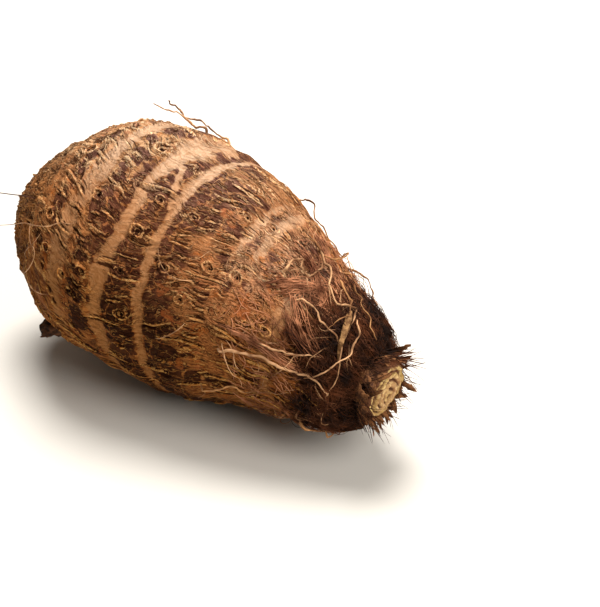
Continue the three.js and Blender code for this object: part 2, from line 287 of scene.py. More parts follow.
def skin_frame(station, angle):
    """At a point of the skin: the point, along it to the crown, round it, and out of it."""
    at = skin_point(station, angle)
    along = unit(skin_point(station + SMALL_STEP, angle) - at)
    around = unit(skin_point(station, angle + SMALL_STEP) - at)
    out = unit(np.cross(around, along))
    return at, along, np.cross(along, out), out


def over_skin(station, angle, height):
    at, _, _, out = skin_frame(station, angle)
    return at + out * np.asarray(height)[..., None]


# ---- The grain: fine skin runs along columns that sway and part round the bud eyes ----

SKIN_RINGS = 170
SKIN_COLUMNS = 560
GRAIN_CYLINDER = 40
GRAIN_SWAY = 5.5
GRAIN_SWAY_START = 0.3125
GRAIN_SWAY_LENGTH = 0.55
GRAIN_SWAY_LAG = 0.5
GRAIN_SWAY_SIDE = 2.3
GRAIN_NOISE = ((0.8, 9, 3), (0.35, 4, 4))
GRAIN_LEAST_RADIUS = 9
GRAIN_ROUNDS = 3
EYE_PARTING = 1.5
EYE_PARTING_REACH = 1.7
EYE_PARTING_STRETCH = 1.3
ARC_STEPS = 4000

ARC_STATIONS = (1 - np.cos(np.linspace(0, math.pi, ARC_STEPS + 1))) / 2
ARC_LENGTHS = np.concatenate(((0,), np.cumsum(np.hypot(
    np.diff(ARC_STATIONS) * LENGTH, np.diff(girth_radius(ARC_STATIONS))))))


def arc_at(station):
    """The distance along the skin from the basal pole, in millimetres."""
    return np.interp(station, ARC_STATIONS, ARC_LENGTHS)


def station_at(arc):
    return np.interp(arc, ARC_LENGTHS, ARC_STATIONS)


def grain_radius(station):
    return np.maximum(girth_radius(station), GRAIN_LEAST_RADIUS)


def grain_cell(arc, column):
    """The skin rolled out on a cylinder, so that noise on it follows the grain without a seam."""
    return np.stack(np.broadcast_arrays(
        arc, GRAIN_CYLINDER * np.cos(column), GRAIN_CYLINDER * np.sin(column)), -1)


def plain_sway(arc, column):
    """How far the grain has swung round the corm, in millimetres."""
    swing = 2 * math.pi * (station_at(arc) - GRAIN_SWAY_START) / GRAIN_SWAY_LENGTH
    lag = GRAIN_SWAY_LAG * np.sin(column - GRAIN_SWAY_SIDE)
    return GRAIN_SWAY * np.sin(swing + lag) + layered(grain_cell(arc, column), *GRAIN_NOISE)


def column_of(station, angle):
    """The grain column that passes a place on the skin."""
    arc = arc_at(station)
    column = angle
    for _ in range(GRAIN_ROUNDS):
        column = angle - plain_sway(arc, column) / grain_radius(station)
    return column


def far_eyes():
    """Eyes of the hidden side, a leaf's turn apart."""
    first, last = FAR_EYE_STATIONS
    low, high = FAR_EYE_ANGLES
    return tuple(
        (
            first + (last - first) * i / (FAR_EYES - 1),
            low + i * LEAF_SPIRAL % (high - low),
            FAR_EYE_RADIUS,
        )
        for i in range(FAR_EYES)
    )


EYES = FRONT_EYES + far_eyes()
EYE_PLACES = tuple(
    (arc_at(station), column_of(station, math.radians(degrees)), grain_radius(station), radius)
    for station, degrees, radius in EYES
)


def grain_angle(arc, column):
    """The angle at which a column passes a given arc: swayed, and parted round the eyes."""
    sideways = plain_sway(arc, column)
    for eye_arc, eye_column, eye_girth, radius in EYE_PLACES:
        reach = EYE_PARTING_REACH * radius
        ahead = (arc - eye_arc) / (EYE_PARTING_STRETCH * reach)
        aside = wrap(column - eye_column) * eye_girth / reach
        sideways = sideways + EYE_PARTING * aside * np.exp(-(ahead**2 + aside**2) / 2)
    return column + sideways / grain_radius(station_at(arc))


# ---- Ridges and slits of the skin ----

# Those that stand out: station, angle, half length, half gap between the two lips.
MARKED_SLITS = (
    (0.3175, 115, 6.4, 0.4), (0.397, 113.7, 4.3, 0.75), (0.397, 108.4, 4.3, 0.65),
    (0.391, 124.4, 4, 0.5), (0.42, 126, 4.6, 0.3), (0.267, 133.5, 6, 0.6),
    (0.33, 140.8, 5, 0.4), (0.405, 146, 4.5, 0.8), (0.393, 142.2, 3.6, 0.3),
    (0.416, 136.4, 4.6, 0.5), (0.3175, 155.5, 6.5, 0.4), (0.317, 132, 5, 0.5),
    (0.265, 129.3, 8, 0.9), (0.391, 138.6, 3.2, 0.3), (0.38, 152.4, 2.5, 0.3),
    (0.3, 103.5, 8, 0.8), (0.292, 107.5, 4.3, 0.5), (0.38, 168, 3, 0.5),
    (0.364, 175.5, 3.4, 0.5), (0.61, 117.5, 3.5, 0.7), (0.603, 121.5, 3.3, 0.3),
    (0.66, 123.7, 4.5, 0.45), (0.6555, 113.5, 4.6, 0.5), (0.58, 132.6, 5, 0.6),
    (0.5925, 135.4, 3, 0.5), (0.622, 137.6, 3, 0.5), (0.582, 146.4, 5.5, 1.3),
    (0.6575, 146.9, 4.8, 0.8), (0.672, 143.8, 2.5, 0.3), (0.66, 153, 4.4, 0.5),
    (0.664, 159.3, 4.5, 0.7), (0.655, 168.7, 5, 0.5), (0.622, 89.5, 8, 0.5),
    (0.6345, 86, 6, 0.4), (0.63, 82.4, 8, 0.5), (0.6345, 72.5, 6, 0.5),
    (0.607, 98.8, 5.5, 0.5), (0.605, 107.7, 2.5, 0.3), (0.712, 124.6, 4, 0.3),
    (0.6975, 142.4, 2.2, 0.3), (0.626, 94.5, 3.5, 0.3),
)
SLIT_TRIES = 3000
SLIT_DRAWS = 11
# How thickly the drawn slits lie, by station.
SLIT_STATIONS = (0, 0.15, 0.22, 0.31, 0.34, 0.37, 0.45, 0.5, 0.53, 0.57, 0.66, 0.75, 1)
SLIT_CROWDING = (0.3, 0.5, 0.9, 0.8, 0.4, 0.9, 0.8, 0.28, 0.35, 0.9, 1, 0.7, 0.3)
SLIT_GIRTH = 50
SLIT_MEAN_CROWDING = 0.75
SLIT_CLUMPS = (0.6, 15, 73)
SMOOTH_SPARING = 0.8
SLIT_ARCS = (9, 212)
SLIT_HALF_LENGTHS = (3, 12)
SLIT_LENGTH_BIAS = 1.4
SLIT_HALF_GAPS = (0.2, 2.5)
SLIT_BENDS = (-1.3, 1.3)
SLIT_TILTS = (-0.14, 0.14)
SLIT_WAVES = (-0.8, 0.8)
SLIT_WAVE_TURNS = 3.2
SLIT_PHASE = 7
SLIT_ROOMS = (0.9, 2.6)
SLIT_DEPTH = 0.7
SLIT_WALL = 0.6
SLIT_ROUNDING = 0.01
DEEP_HALF_GAP = 0.25
SUNLIT_SIDE = (-0.1, 0.35)
SUNLIT_HALF_GAP = 0.5
LIP_WIDTH = 0.5
LIP_INSET = 0.25
LIP_HEIGHTS = (0.3, 0.95)
FAINT_LIP = 0.5
PAINTED_LIGHT_ON_FLOOR = 0.6
MARKED_LIP_HEIGHT = 1
MARKED_ROOM = 1.2
MARKED_GAPE = 1.4
SHADE_OFFSET = 0.95
SHADE_WIDTH = 0.45
SHADE_STRENGTH = 0.85


def slit_length_share(station):
    """Slits are short on the rough basal cap and longest in the middle."""
    return np.interp(station, (0.05, 0.2, 0.3, 0.7, 0.9), (0.4, 0.6, 0.9, 1, 0.8))


def slit_turn_share(station):
    """Slits cross the grain on the basal shoulder and keep to it further on."""
    return np.interp(station, (0.15, 0.3, 0.42, 0.5), (3.2, 2.4, 1.3, 1))


def marked_slits():
    """Rows of arc, column, half length, half gap, lip height, bend, tilt, wave and room."""
    draw = make_draw(MARKED_SLIT_SEED)
    stations, degrees, half_lengths, half_gaps = np.array(MARKED_SLITS).T
    columns = column_of(stations, np.radians(degrees))
    swings = [(draw(*SLIT_BENDS), draw(*SLIT_TILTS), draw(*SLIT_WAVES)) for _ in MARKED_SLITS]
    lips = np.full(len(MARKED_SLITS), MARKED_LIP_HEIGHT)
    rooms = np.full(len(MARKED_SLITS), MARKED_ROOM)
    sizes = (half_lengths, MARKED_GAPE * half_gaps, lips)
    return np.column_stack((arc_at(stations), columns, *sizes, np.array(swings), rooms))


def slit_crowding(arcs, columns):
    """The share of drawn slits that stay: fewer at the narrow ends, hardly any on smooth skin."""
    stations = station_at(arcs)
    angles = grain_angle(arcs, columns)
    crowding = np.interp(stations, SLIT_STATIONS, SLIT_CROWDING) * grain_radius(stations) / SLIT_GIRTH
    crowding = crowding * (SLIT_MEAN_CROWDING + layered(grain_cell(arcs, columns), SLIT_CLUMPS))
    smooth = np.maximum(tan_share(stations, angles), patch_share(stations, angles, DARK_PATCHES))
    return crowding * (1 - SMOOTH_SPARING * smooth)


def drawn_slits():
    """Such rows at random places over the whole skin."""
    draw = make_draw(SLIT_SEED)
    shares = np.array([[draw(0, 1) for _ in range(SLIT_DRAWS)] for _ in range(SLIT_TRIES)]).T
    ahead, aside, chance, length, gap, gap_again, lip, bend, tilt, room, wave = shares
    arcs = spread(ahead, SLIT_ARCS)
    columns = 2 * math.pi * aside
    stations = station_at(arcs)
    half_lengths = spread(length**SLIT_LENGTH_BIAS, SLIT_HALF_LENGTHS) * slit_length_share(stations)
    turned = slit_turn_share(stations)
    rows = np.column_stack((
        arcs,
        columns,
        half_lengths,
        spread(gap * gap_again, SLIT_HALF_GAPS),
        spread(lip, LIP_HEIGHTS),
        spread(bend, SLIT_BENDS),
        turned * spread(tilt, SLIT_TILTS),
        turned * spread(wave, SLIT_WAVES),
        spread(room**2, SLIT_ROOMS),
    ))
    return rows[chance < slit_crowding(arcs, columns)]


def place_slits():
    """The marked slits, and the drawn ones that have room beside those already placed."""
    slits = marked_slits()
    drawn = drawn_slits()
    placed = np.concatenate((slits, drawn))
    count = len(slits)
    for slit in drawn:
        others = placed[:count]
        girth = grain_radius(station_at(slit[0]))
        ahead = (others[:, 0] - slit[0]) / (others[:, 2] + slit[2])
        aside = wrap(others[:, 1] - slit[1]) * girth / (others[:, 3] + slit[3] + slit[8])
        if (ahead**2 + aside**2).min() > 1:
            placed[count] = slit
            count += 1
    return placed[:count]


def slit_profile(ahead, aside, slit):
    """Round one slit: the crest of its lips, its hollow, and the shares to paint as lip and slit: the lip
    share adds painted light on the sunlit side of the floor, and the slit share is painted shade on the
    other side and a painted shadow beside the lip.
    """
    _, column, half_length, half_gap, _, bend, tilt, wave, _ = slit
    opening = 1 - ahead**2
    swing = wave * np.sin(SLIT_WAVE_TURNS * ahead + SLIT_PHASE * column)
    across = aside - bend * opening - tilt * half_length * ahead - swing
    edge = half_gap * opening + LIP_INSET
    crest = np.exp(-(((np.abs(across) - edge) / LIP_WIDTH) ** 2)) * opening**0.5
    crest = crest * np.where(across * tilt > 0, 1, FAINT_LIP)
    hollow = step(1 - np.abs(across) / (edge + SLIT_ROUNDING), 0, SLIT_WALL) * opening
    hollow = hollow * min(1, half_gap / DEEP_HALF_GAP)
    sunlit = step(-across, *SUNLIT_SIDE) * min(1, half_gap / SUNLIT_HALF_GAP)
    shade = np.exp(-(((across + edge + SHADE_OFFSET) / SHADE_WIDTH) ** 2)) * opening
    lip = np.maximum(crest, PAINTED_LIGHT_ON_FLOOR * hollow * sunlit)
    return crest, hollow, lip, np.maximum(hollow * (1 - sunlit), SHADE_STRENGTH * shade)


def slit_relief(arcs, columns):
    """Over the whole grid: the height of the slits and their lips, then the share of lip, with painted
    light on the sunlit floors, and of slit, which is painted shade and shadow.
    """
    height, lip, slit_shade_share = np.zeros((3, len(arcs), len(columns)))
    for slit in place_slits():
        arc, column, half_length, half_gap, lip_height, bend, tilt, wave, _ = slit
        ahead = (arcs - arc) / half_length
        aside = wrap(columns - column) * grain_radius(station_at(arc))
        reach = half_gap + abs(bend) + abs(tilt) * half_length + abs(wave) + 4 * LIP_WIDTH
        rings = np.nonzero(np.abs(ahead) < 1)[0]
        lines = np.nonzero(np.abs(aside) < reach)[0]
        here = np.ix_(rings, lines)
        crest, hollow, lips, dark = slit_profile(ahead[rings, None], aside[None, lines], slit)
        height[here] = np.maximum(height[here], lip_height * crest) - SLIT_DEPTH * hollow
        lip[here] = np.maximum(lip[here], lips)
        slit_shade_share[here] = np.maximum(slit_shade_share[here], dark)
    return height, lip, slit_shade_share


# ---- Where the colours lie ----

# Tan leaf-scar bands: angles in degrees, then the station of the band's middle, its half width
# and its strength at each.
BAND_ANGLES = (0, 45, 75, 88, 100, 112, 126, 140, 160, 180, 215, 260, 310)
TAN_BANDS = (
    ((0.34, 0.345, 0.345, 0.343, 0.343, 0.341, 0.34, 0.326, 0.312, 0.31, 0.325, 0.34, 0.335),
     (0.012, 0.02, 0.027, 0.027, 0.025, 0.025, 0.027, 0.03, 0.03, 0.022, 0.016, 0.018, 0.014),
     (0.7, 0.6, 0.75, 0.8, 0.8, 0.8, 0.75, 0.7, 0.75, 0.75, 0.7, 0.7, 0.7)),
    ((0.45, 0.462, 0.472, 0.479, 0.468, 0.464, 0.461, 0.457, 0.433, 0.425, 0.425, 0.432, 0.44),
     (0.012, 0.018, 0.036, 0.034, 0.02, 0.013, 0.012, 0.012, 0.013, 0.012, 0.012, 0.013, 0.012),
     (0.9, 0.9, 1, 1, 1, 1, 1, 1, 1, 1, 0.9, 0.8, 0.9)),
    ((0.535, 0.55, 0.552, 0.547, 0.54, 0.537, 0.534, 0.53, 0.527, 0.528, 0.53, 0.535, 0.53),
     (0.01, 0.009, 0.009, 0.0095, 0.011, 0.011, 0.009, 0.009, 0.011, 0.011, 0.01, 0.009, 0.01),
     (0.8, 0.9, 1, 1, 1, 1, 1, 0.95, 0.95, 0.9, 0.8, 0.8, 0.8)),
    ((0.67, 0.675, 0.675, 0.676, 0.678, 0.68, 0.68, 0.675, 0.675, 0.675, 0.672, 0.675, 0.67),
     (0.006, 0.006, 0.006, 0.007, 0.009, 0.007, 0.004, 0.003, 0.004, 0.004, 0.006, 0.007, 0.006),
     (0.7, 0.6, 0.55, 0.8, 1, 0.8, 0.4, 0.3, 0.3, 0.4, 0.7, 0.8, 0.7)),
    ((0.72, 0.715, 0.712, 0.713, 0.715, 0.718, 0.73, 0.735, 0.735, 0.73, 0.725, 0.73, 0.73),
     (0.008, 0.009, 0.012, 0.014, 0.012, 0.009, 0.007, 0.005, 0.005, 0.006, 0.008, 0.009, 0.008),
     (0.6, 0.6, 0.9, 0.95, 0.9, 0.7, 0.6, 0.3, 0.3, 0.4, 0.6, 0.7, 0.6)),
    ((0.81, 0.81, 0.815, 0.815, 0.82, 0.822, 0.824, 0.819, 0.805, 0.805, 0.81, 0.81, 0.81),
     (0.005, 0.004, 0.003, 0.003, 0.003, 0.006, 0.011, 0.015, 0.014, 0.009, 0.007, 0.006, 0.006),
     (0.4, 0.2, 0, 0, 0, 0.5, 0.9, 1, 1, 0.7, 0.5, 0.4, 0.4)),
)
BAND_EDGE = 0.55
TAN_ROLL = 170
TAN_RAGGED = (0.005, 5, 31)
TAN_FRAYED = (0.005, 2, 32)
TAN_FRAY_STRETCH = (0.4, 1, 1)
TAN_SWELL = (0.4, 10, 33)

# A thin tan line that leaves the second band and crosses to the third.
TAN_LINK = ((100, 0.497), (122, 0.53))
TAN_LINK_HALF_WIDTH = 0.0062
TAN_LINK_EDGE = (-0.6, 0.5)
TAN_LINK_END = 0.01

# How dark the skin between the bands is, by station.
DARK_STATIONS = (
    0, 0.17, 0.22, 0.3, 0.33, 0.36, 0.4, 0.45, 0.5, 0.56, 0.6, 0.65, 0.69, 0.76, 0.83, 0.88, 1,
)
DARK_SHARES = (
    0, 0.1, 0.32, 0.4, 0.26, 0.36, 0.5, 0.8, 0.98, 0.92, 0.64, 0.46, 0.36, 0.32, 0.58, 0.95, 0.95,
)
# Dark purple patches that stand out: station, angle, half length and half width in millimetres.
DARK_PATCHES = (
    (0.284, 119.6, 3.2, 7), (0.264, 139, 5, 5), (0.392, 116.6, 3.4, 2.8), (0.395, 120.6, 3.4, 2.6),
    (0.435, 119.3, 2.8, 2.8), (0.396, 127.8, 3, 3.6), (0.394, 135, 2.6, 2.6), (0.416, 134.4, 2.2, 1.6),
    (0.414, 142.8, 3.4, 1.8), (0.408, 105, 4.5, 3), (0.404, 110.3, 3.4, 1.8), (0.392, 94.4, 3, 3),
    (0.282, 98.6, 3, 3.5), (0.398, 84.2, 4, 4), (0.385, 151.2, 4.4, 3.4), (0.275, 162.3, 2, 3),
    (0.382, 156.8, 4.5, 2.6), (0.285, 147.9, 3, 2), (0.269, 111.2, 2.2, 1.8), (0.297, 109.4, 2.2, 1.6),
    (0.442, 110.3, 2.4, 1.6), (0.374, 163.6, 4.6, 2.2), (0.368, 169.2, 4.4, 1.8), (0.378, 175, 5.2, 2.8),
    (0.372, 182, 5.4, 3), (0.384, 189.5, 5, 3.2),
    (0.672, 126.5, 2.6, 3.4), (0.66, 149.5, 3, 3), (0.735, 132, 2.2, 3), (0.70, 139, 2, 2),
    (0.565, 165, 6, 6.5), (0.87, 143, 7, 4),
)
PALE_PATCHES = ((0.505, 72, 5, 3), (0.36, 89, 3, 3))
# A reddish oval that interrupts the second band.
OVAL_PATCHES = ((0.468, 72.5, 6.2, 6.4),)
OVAL_TAN = 0.5
SHOULDER_TAN = 0.32
SHOULDER_START = (0.17, 0.23)
SHOULDER_END = (0.4, 0.46)
PLAIN_DARK = 0.82
DARK_CLUMPS = (0.4, 8, 41)
DARK_EDGE = (0.15, 0.85)
DARK_ON_TAN = 0.97
PATCH_WOBBLES = ((0.5, 3.5, 47), (0.3, 1.6, 48))
PATCH_SIZE = 1.35
PATCH_EDGE = 0.7
PATCH_GIRTH = 46
RUST_PATCHES = (
    (0.575, 156, 5, 2.5), (0.744, 145.5, 4.5, 5), (0.64, 106, 6, 3),
    (0.66, 116, 5, 3), (0.79, 118, 6, 5), (0.61, 166, 5, 2), (0.31, 160, 6, 3),
)
RUST_GRAIN = (1, 4, 43)
RUST_STREAKS = (0.5, 1.5, 44)
RUST_EDGE = (-0.7, 0.7)
OVAL_RUST = 0.45
# Where the redder crown end begins and the basal cap ends, with the noise on each edge.
RED_START = (0.56, 0.76)
RED_RAGGED = (0.035, 9, 45)
BASAL_END = (0.15, 0.235)
BASAL_RAGGED = (0.03, 8, 46)
# Pale broken shores round the dark islands of the shoulder.
SHORE_BREAKS = (1, 3.2, 49)
SHORE_EDGE = (-0.35, 0.25)
PAINT_STRETCH = 0.45


def rolled_out(station, angle, length):
    """The skin rolled out on a cylinder by station and angle, without a seam."""
    return np.stack((station * length, PATCH_GIRTH * np.cos(angle), PATCH_GIRTH * np.sin(angle)), -1)


def link_share(station, degrees):
    """The thin tan line between two bands."""
    (first_angle, first_station), (last_angle, last_station) = TAN_LINK
    half_turn = (last_angle - first_angle) / 2
    part = np.clip((degrees - first_angle) / (last_angle - first_angle), 0, 1)
    off = np.abs(station - first_station - part * (last_station - first_station))
    off = off + TAN_LINK_END * (np.abs(degrees - (first_angle + last_angle) / 2) > half_turn)
    return step(1 - off / TAN_LINK_HALF_WIDTH, *TAN_LINK_EDGE)


def tan_share(station, angle):
    """How much of the skin is smooth tan leaf scar, from 0 to 1."""
    degrees = np.degrees(angle) % 360
    rolled = rolled_out(station, angle, TAN_ROLL)
    ragged = layered(rolled, TAN_RAGGED) + layered(rolled * TAN_FRAY_STRETCH, TAN_FRAYED)
    swell = 1 + layered(rolled, TAN_SWELL)
    share = 0
    for band in TAN_BANDS:
        middle, half_width, strength = (
            np.interp(degrees, BAND_ANGLES, values, period=360) for values in band
        )
        half_width = half_width * swell
        inside = half_width - np.abs(station + ragged - middle)
        share = np.maximum(share, strength * step(inside / half_width, -BAND_EDGE, BAND_EDGE))
    return np.maximum(share, link_share(station, degrees))


def patch_share(station, angle, patches):
    """1 inside the listed patches, fading at their wavy edges."""
    wobble = layered(rolled_out(station, angle, LENGTH), *PATCH_WOBBLES)
    share = 0
    for middle, degrees, half_length, half_width in patches:
        ahead = (station - middle) * LENGTH / half_length
        aside = wrap(angle - math.radians(degrees)) * grain_radius(station) / half_width
        inside = PATCH_SIZE - np.hypot(ahead, aside) + wobble
        share = np.maximum(share, step(inside, 0, PATCH_EDGE))
    return share


def skin_paint(station, angle, arc, column):
    """The masks that the skin's material mixes its colours by."""
    streaked = grain_cell(arc * PAINT_STRETCH, column)
    rolled = grain_cell(arc, column)
    oval = patch_share(station, angle, OVAL_PATCHES)
    tan = np.maximum(tan_share(station, angle), patch_share(station, angle, PALE_PATCHES))
    tan = tan * (1 - oval) + OVAL_TAN * oval
    dark = np.interp(station, DARK_STATIONS, DARK_SHARES) + layered(streaked, DARK_CLUMPS)
    islands = patch_share(station, angle, DARK_PATCHES)
    dark = np.maximum(PLAIN_DARK * step(dark, *DARK_EDGE), islands) * (1 - oval)
    shoulder = step(station, *SHOULDER_START) * (1 - step(station, *SHOULDER_END))
    tan = np.maximum(tan, SHOULDER_TAN * shoulder * (1 - dark))
    rust_grain = layered(rolled, RUST_GRAIN) + layered(streaked, RUST_STREAKS)
    rust = patch_share(station, angle, RUST_PATCHES) * step(rust_grain, *RUST_EDGE)
    shore = 4 * islands * (1 - islands) * shoulder
    return {
        "tan": tan,
        "dark": dark * (1 - DARK_ON_TAN * tan),
        "lip": 0 * tan,
        "slit": 0 * tan,
        "red": step(station + layered(rolled, RED_RAGGED), *RED_START),
        "basal": 1 - step(station + layered(rolled, BASAL_RAGGED), *BASAL_END),
        "rust": np.maximum(rust, OVAL_RUST * oval) * (1 - tan),
        "pit": 0 * tan,
        "shore": shore * step(layered(rolled, SHORE_BREAKS), *SHORE_EDGE),
    }


# ---- Materials ----

class Value:
    """A number that a node puts out; sums and products with it make further nodes."""

    def __init__(self, paint, socket):
        self.paint = paint
        self.socket = socket

    def math(self, operation, first, second):
        return self.paint.value("Math", "Value", {0: first, 1: second}, operation=operation)

    def __add__(self, other):
        return self.math("ADD", self, other)

    def __sub__(self, other):
        return self.math("SUBTRACT", self, other)

    def __rsub__(self, other):
        return self.math("SUBTRACT", other, self)

    def __mul__(self, other):
        return self.math("MULTIPLY", self, other)

    def or_more(self, other):
        return self.math("MAXIMUM", self, other)

    def step(self, low, high):
        """0 below low, 1 above high, and smooth between."""
        inputs = {"Value": self, "From Min": low, "From Max": high}
        return self.paint.value("MapRange", "Result", inputs, interpolation_type="SMOOTHSTEP")

    def band(self, middle, half_width):
        """1 where the value is at the middle, falling to 0 at half a width from it."""
        off = self.math("ABSOLUTE", self - middle, 0)
        return off.step(half_width, BAND_CORE * half_width)

    def lines(self):
        """Thin lines where noise passes one level, and a line beside each: a ridge and its shadow."""
        return self.band(*VEIN_LEVEL), self.band(*SHADOW_LINE_LEVEL)

    def ragged(self, grain, strength, low=0.38, high=0.6):
        """A mask with its soft edge broken up by noise."""
        return (self + (grain - 0.5) * strength).step(low, high)


class Paint:
    """A material's node tree, with short calls for the nodes used here."""

    def __init__(self, name, roughness, specular=0.12):
        self.material = bpy.data.materials.new(name)
        self.material.use_nodes = True
        self.tree = self.material.node_tree
        self.shader = self.tree.nodes["Principled BSDF"].inputs
        self.put(self.shader, {"Roughness": roughness, "Specular IOR Level": specular})

    def put(self, sockets, values):
        """Links each named socket to a node's output, or sets it."""
        for name, value in values.items():
            value = value.socket if isinstance(value, Value) else value
            if isinstance(value, bpy.types.NodeSocket):
                self.tree.links.new(value, sockets[name])
            else:
                sockets[name].default_value = value

    def node(self, kind, inputs=None, **settings):
        """The outputs of a new node."""
        node = self.tree.nodes.new("ShaderNode" + kind)
        for name, setting in settings.items():
            setattr(node, name, setting)
        self.put(node.inputs, inputs or {})
        return node.outputs

    def value(self, kind, output, inputs, **settings):
        return Value(self, self.node(kind, inputs, **settings)[output])

    def masks(self, name):
        """The red, green, blue and alpha of a colour layer."""
        layer = self.node("Attribute", attribute_name=name)
        parts = self.node("SeparateColor", {"Color": layer["Color"]})
        return [Value(self, socket) for socket in (parts[0], parts[1], parts[2], layer["Alpha"])]

    def vector(self, name):
        return self.node("Attribute", attribute_name=name)["Vector"]

    def part(self, vector, axis):
        return self.value("SeparateXYZ", axis, {"Vector": vector})

    def place(self):
        return self.node("TexCoord")["Object"]

    def stretched(self, vector, scale):
        return self.node("VectorMath", {0: vector, 1: scale}, operation="MULTIPLY")["Vector"]

    def warped(self, vector, scale, reach):
        """The vector pushed about by noise, so that what follows it meanders."""
        push = self.node("TexNoise", {"Vector": vector, "Scale": scale, "Detail": WARP_DETAIL})["Color"]
        pushed = {0: push, 1: (reach, reach, reach), 2: vector}
        return self.node("VectorMath", pushed, operation="MULTIPLY_ADD")["Vector"]

    def noise(self, vector, scale, detail=3, roughness=0.55):
        inputs = {"Vector": vector, "Scale": scale, "Detail": detail, "Roughness": roughness}
        return self.value("TexNoise", "Fac", inputs)

    def cells(self, vector, scale):
        """Cells with straight sides: the distance to the nearest side, and a value for each cell."""
        inputs = {"Vector": vector, "Scale": scale}
        sides = self.value("TexVoronoi", "Distance", inputs, feature="DISTANCE_TO_EDGE")
        middles = self.node("TexVoronoi", inputs)["Color"]
        return sides, self.value("SeparateColor", 0, {"Color": middles})

    def mix(self, share, first, second, blend="MIX"):
        inputs = {"Factor": share, "A": first, "B": second}
        return self.node("Mix", inputs, data_type="RGBA", blend_type=blend)["Result"]

    def bump(self, value, height):
        normal = self.node("Bump", {"Distance": height, "Height": value})["Normal"]
        self.put(self.shader, {"Normal": normal})

    def colour(self, value):
        self.put(self.shader, {"Base Color": value})


def rgb(red, green, blue):
    """An sRGB colour, 0 to 255, as the linear colour that a shader takes."""
    shares = (red / 255, green / 255, blue / 255)
    return tuple(s / 12.92 if s <= 0.04045 else ((s + 0.055) / 1.055) ** 2.4 for s in shares) + (1,)


# A thin line's solid core, as a share of its half width; the noise levels and half widths of the veins
# and of the painted shadow lines beside them, which the bump also sinks; the finer octaves of the noise
# that bends a vector.
BAND_CORE = 0.35
VEIN_LEVEL = (0.5, 0.035)
SHADOW_LINE_LEVEL = (0.545, 0.03)
WARP_DETAIL = 2

# How the grain runs: it is long drawn on the corm, and crumbled over the basal cap, from one
# distance along the skin to another in millimetres.
GRAIN_STRETCH = (0.15, 1, 1)
CRUMB_STRETCH = (0.5, 0.8, 0.8)
COMBED_FROM = (42, 78)

# How far a place faces up where the skin takes the lit copies of its colours, then the painted light that
# multiplies the colour by how it faces: painted shade low down, lighter above and a painted highlight on
# top.
LIT_FACING_FROM = (0, 0.65)
LOW_PAINTED_SHADE = (0.68, 0.55, 0.36, 1)
UPPER_PAINTED_LIGHT = (0.96, 0.86, 0.78, 1)
TOP_PAINTED_HIGHLIGHT = (1.07, 1.27, 1.64, 1)
UPPER_LIGHT_FROM = (0, 0.7)
TOP_HIGHLIGHT_FROM = (0.62, 1)
BLACK = (0, 0, 0, 1)
SKIN_BUMP = 0.7 * MM
CROWN_BUMP = 0.5 * MM
# How quickly a fibre's colour drifts, as the noise's scale.
DRIFT = 90
FINE_DRIFT = 300
FINEST_DRIFT = 400


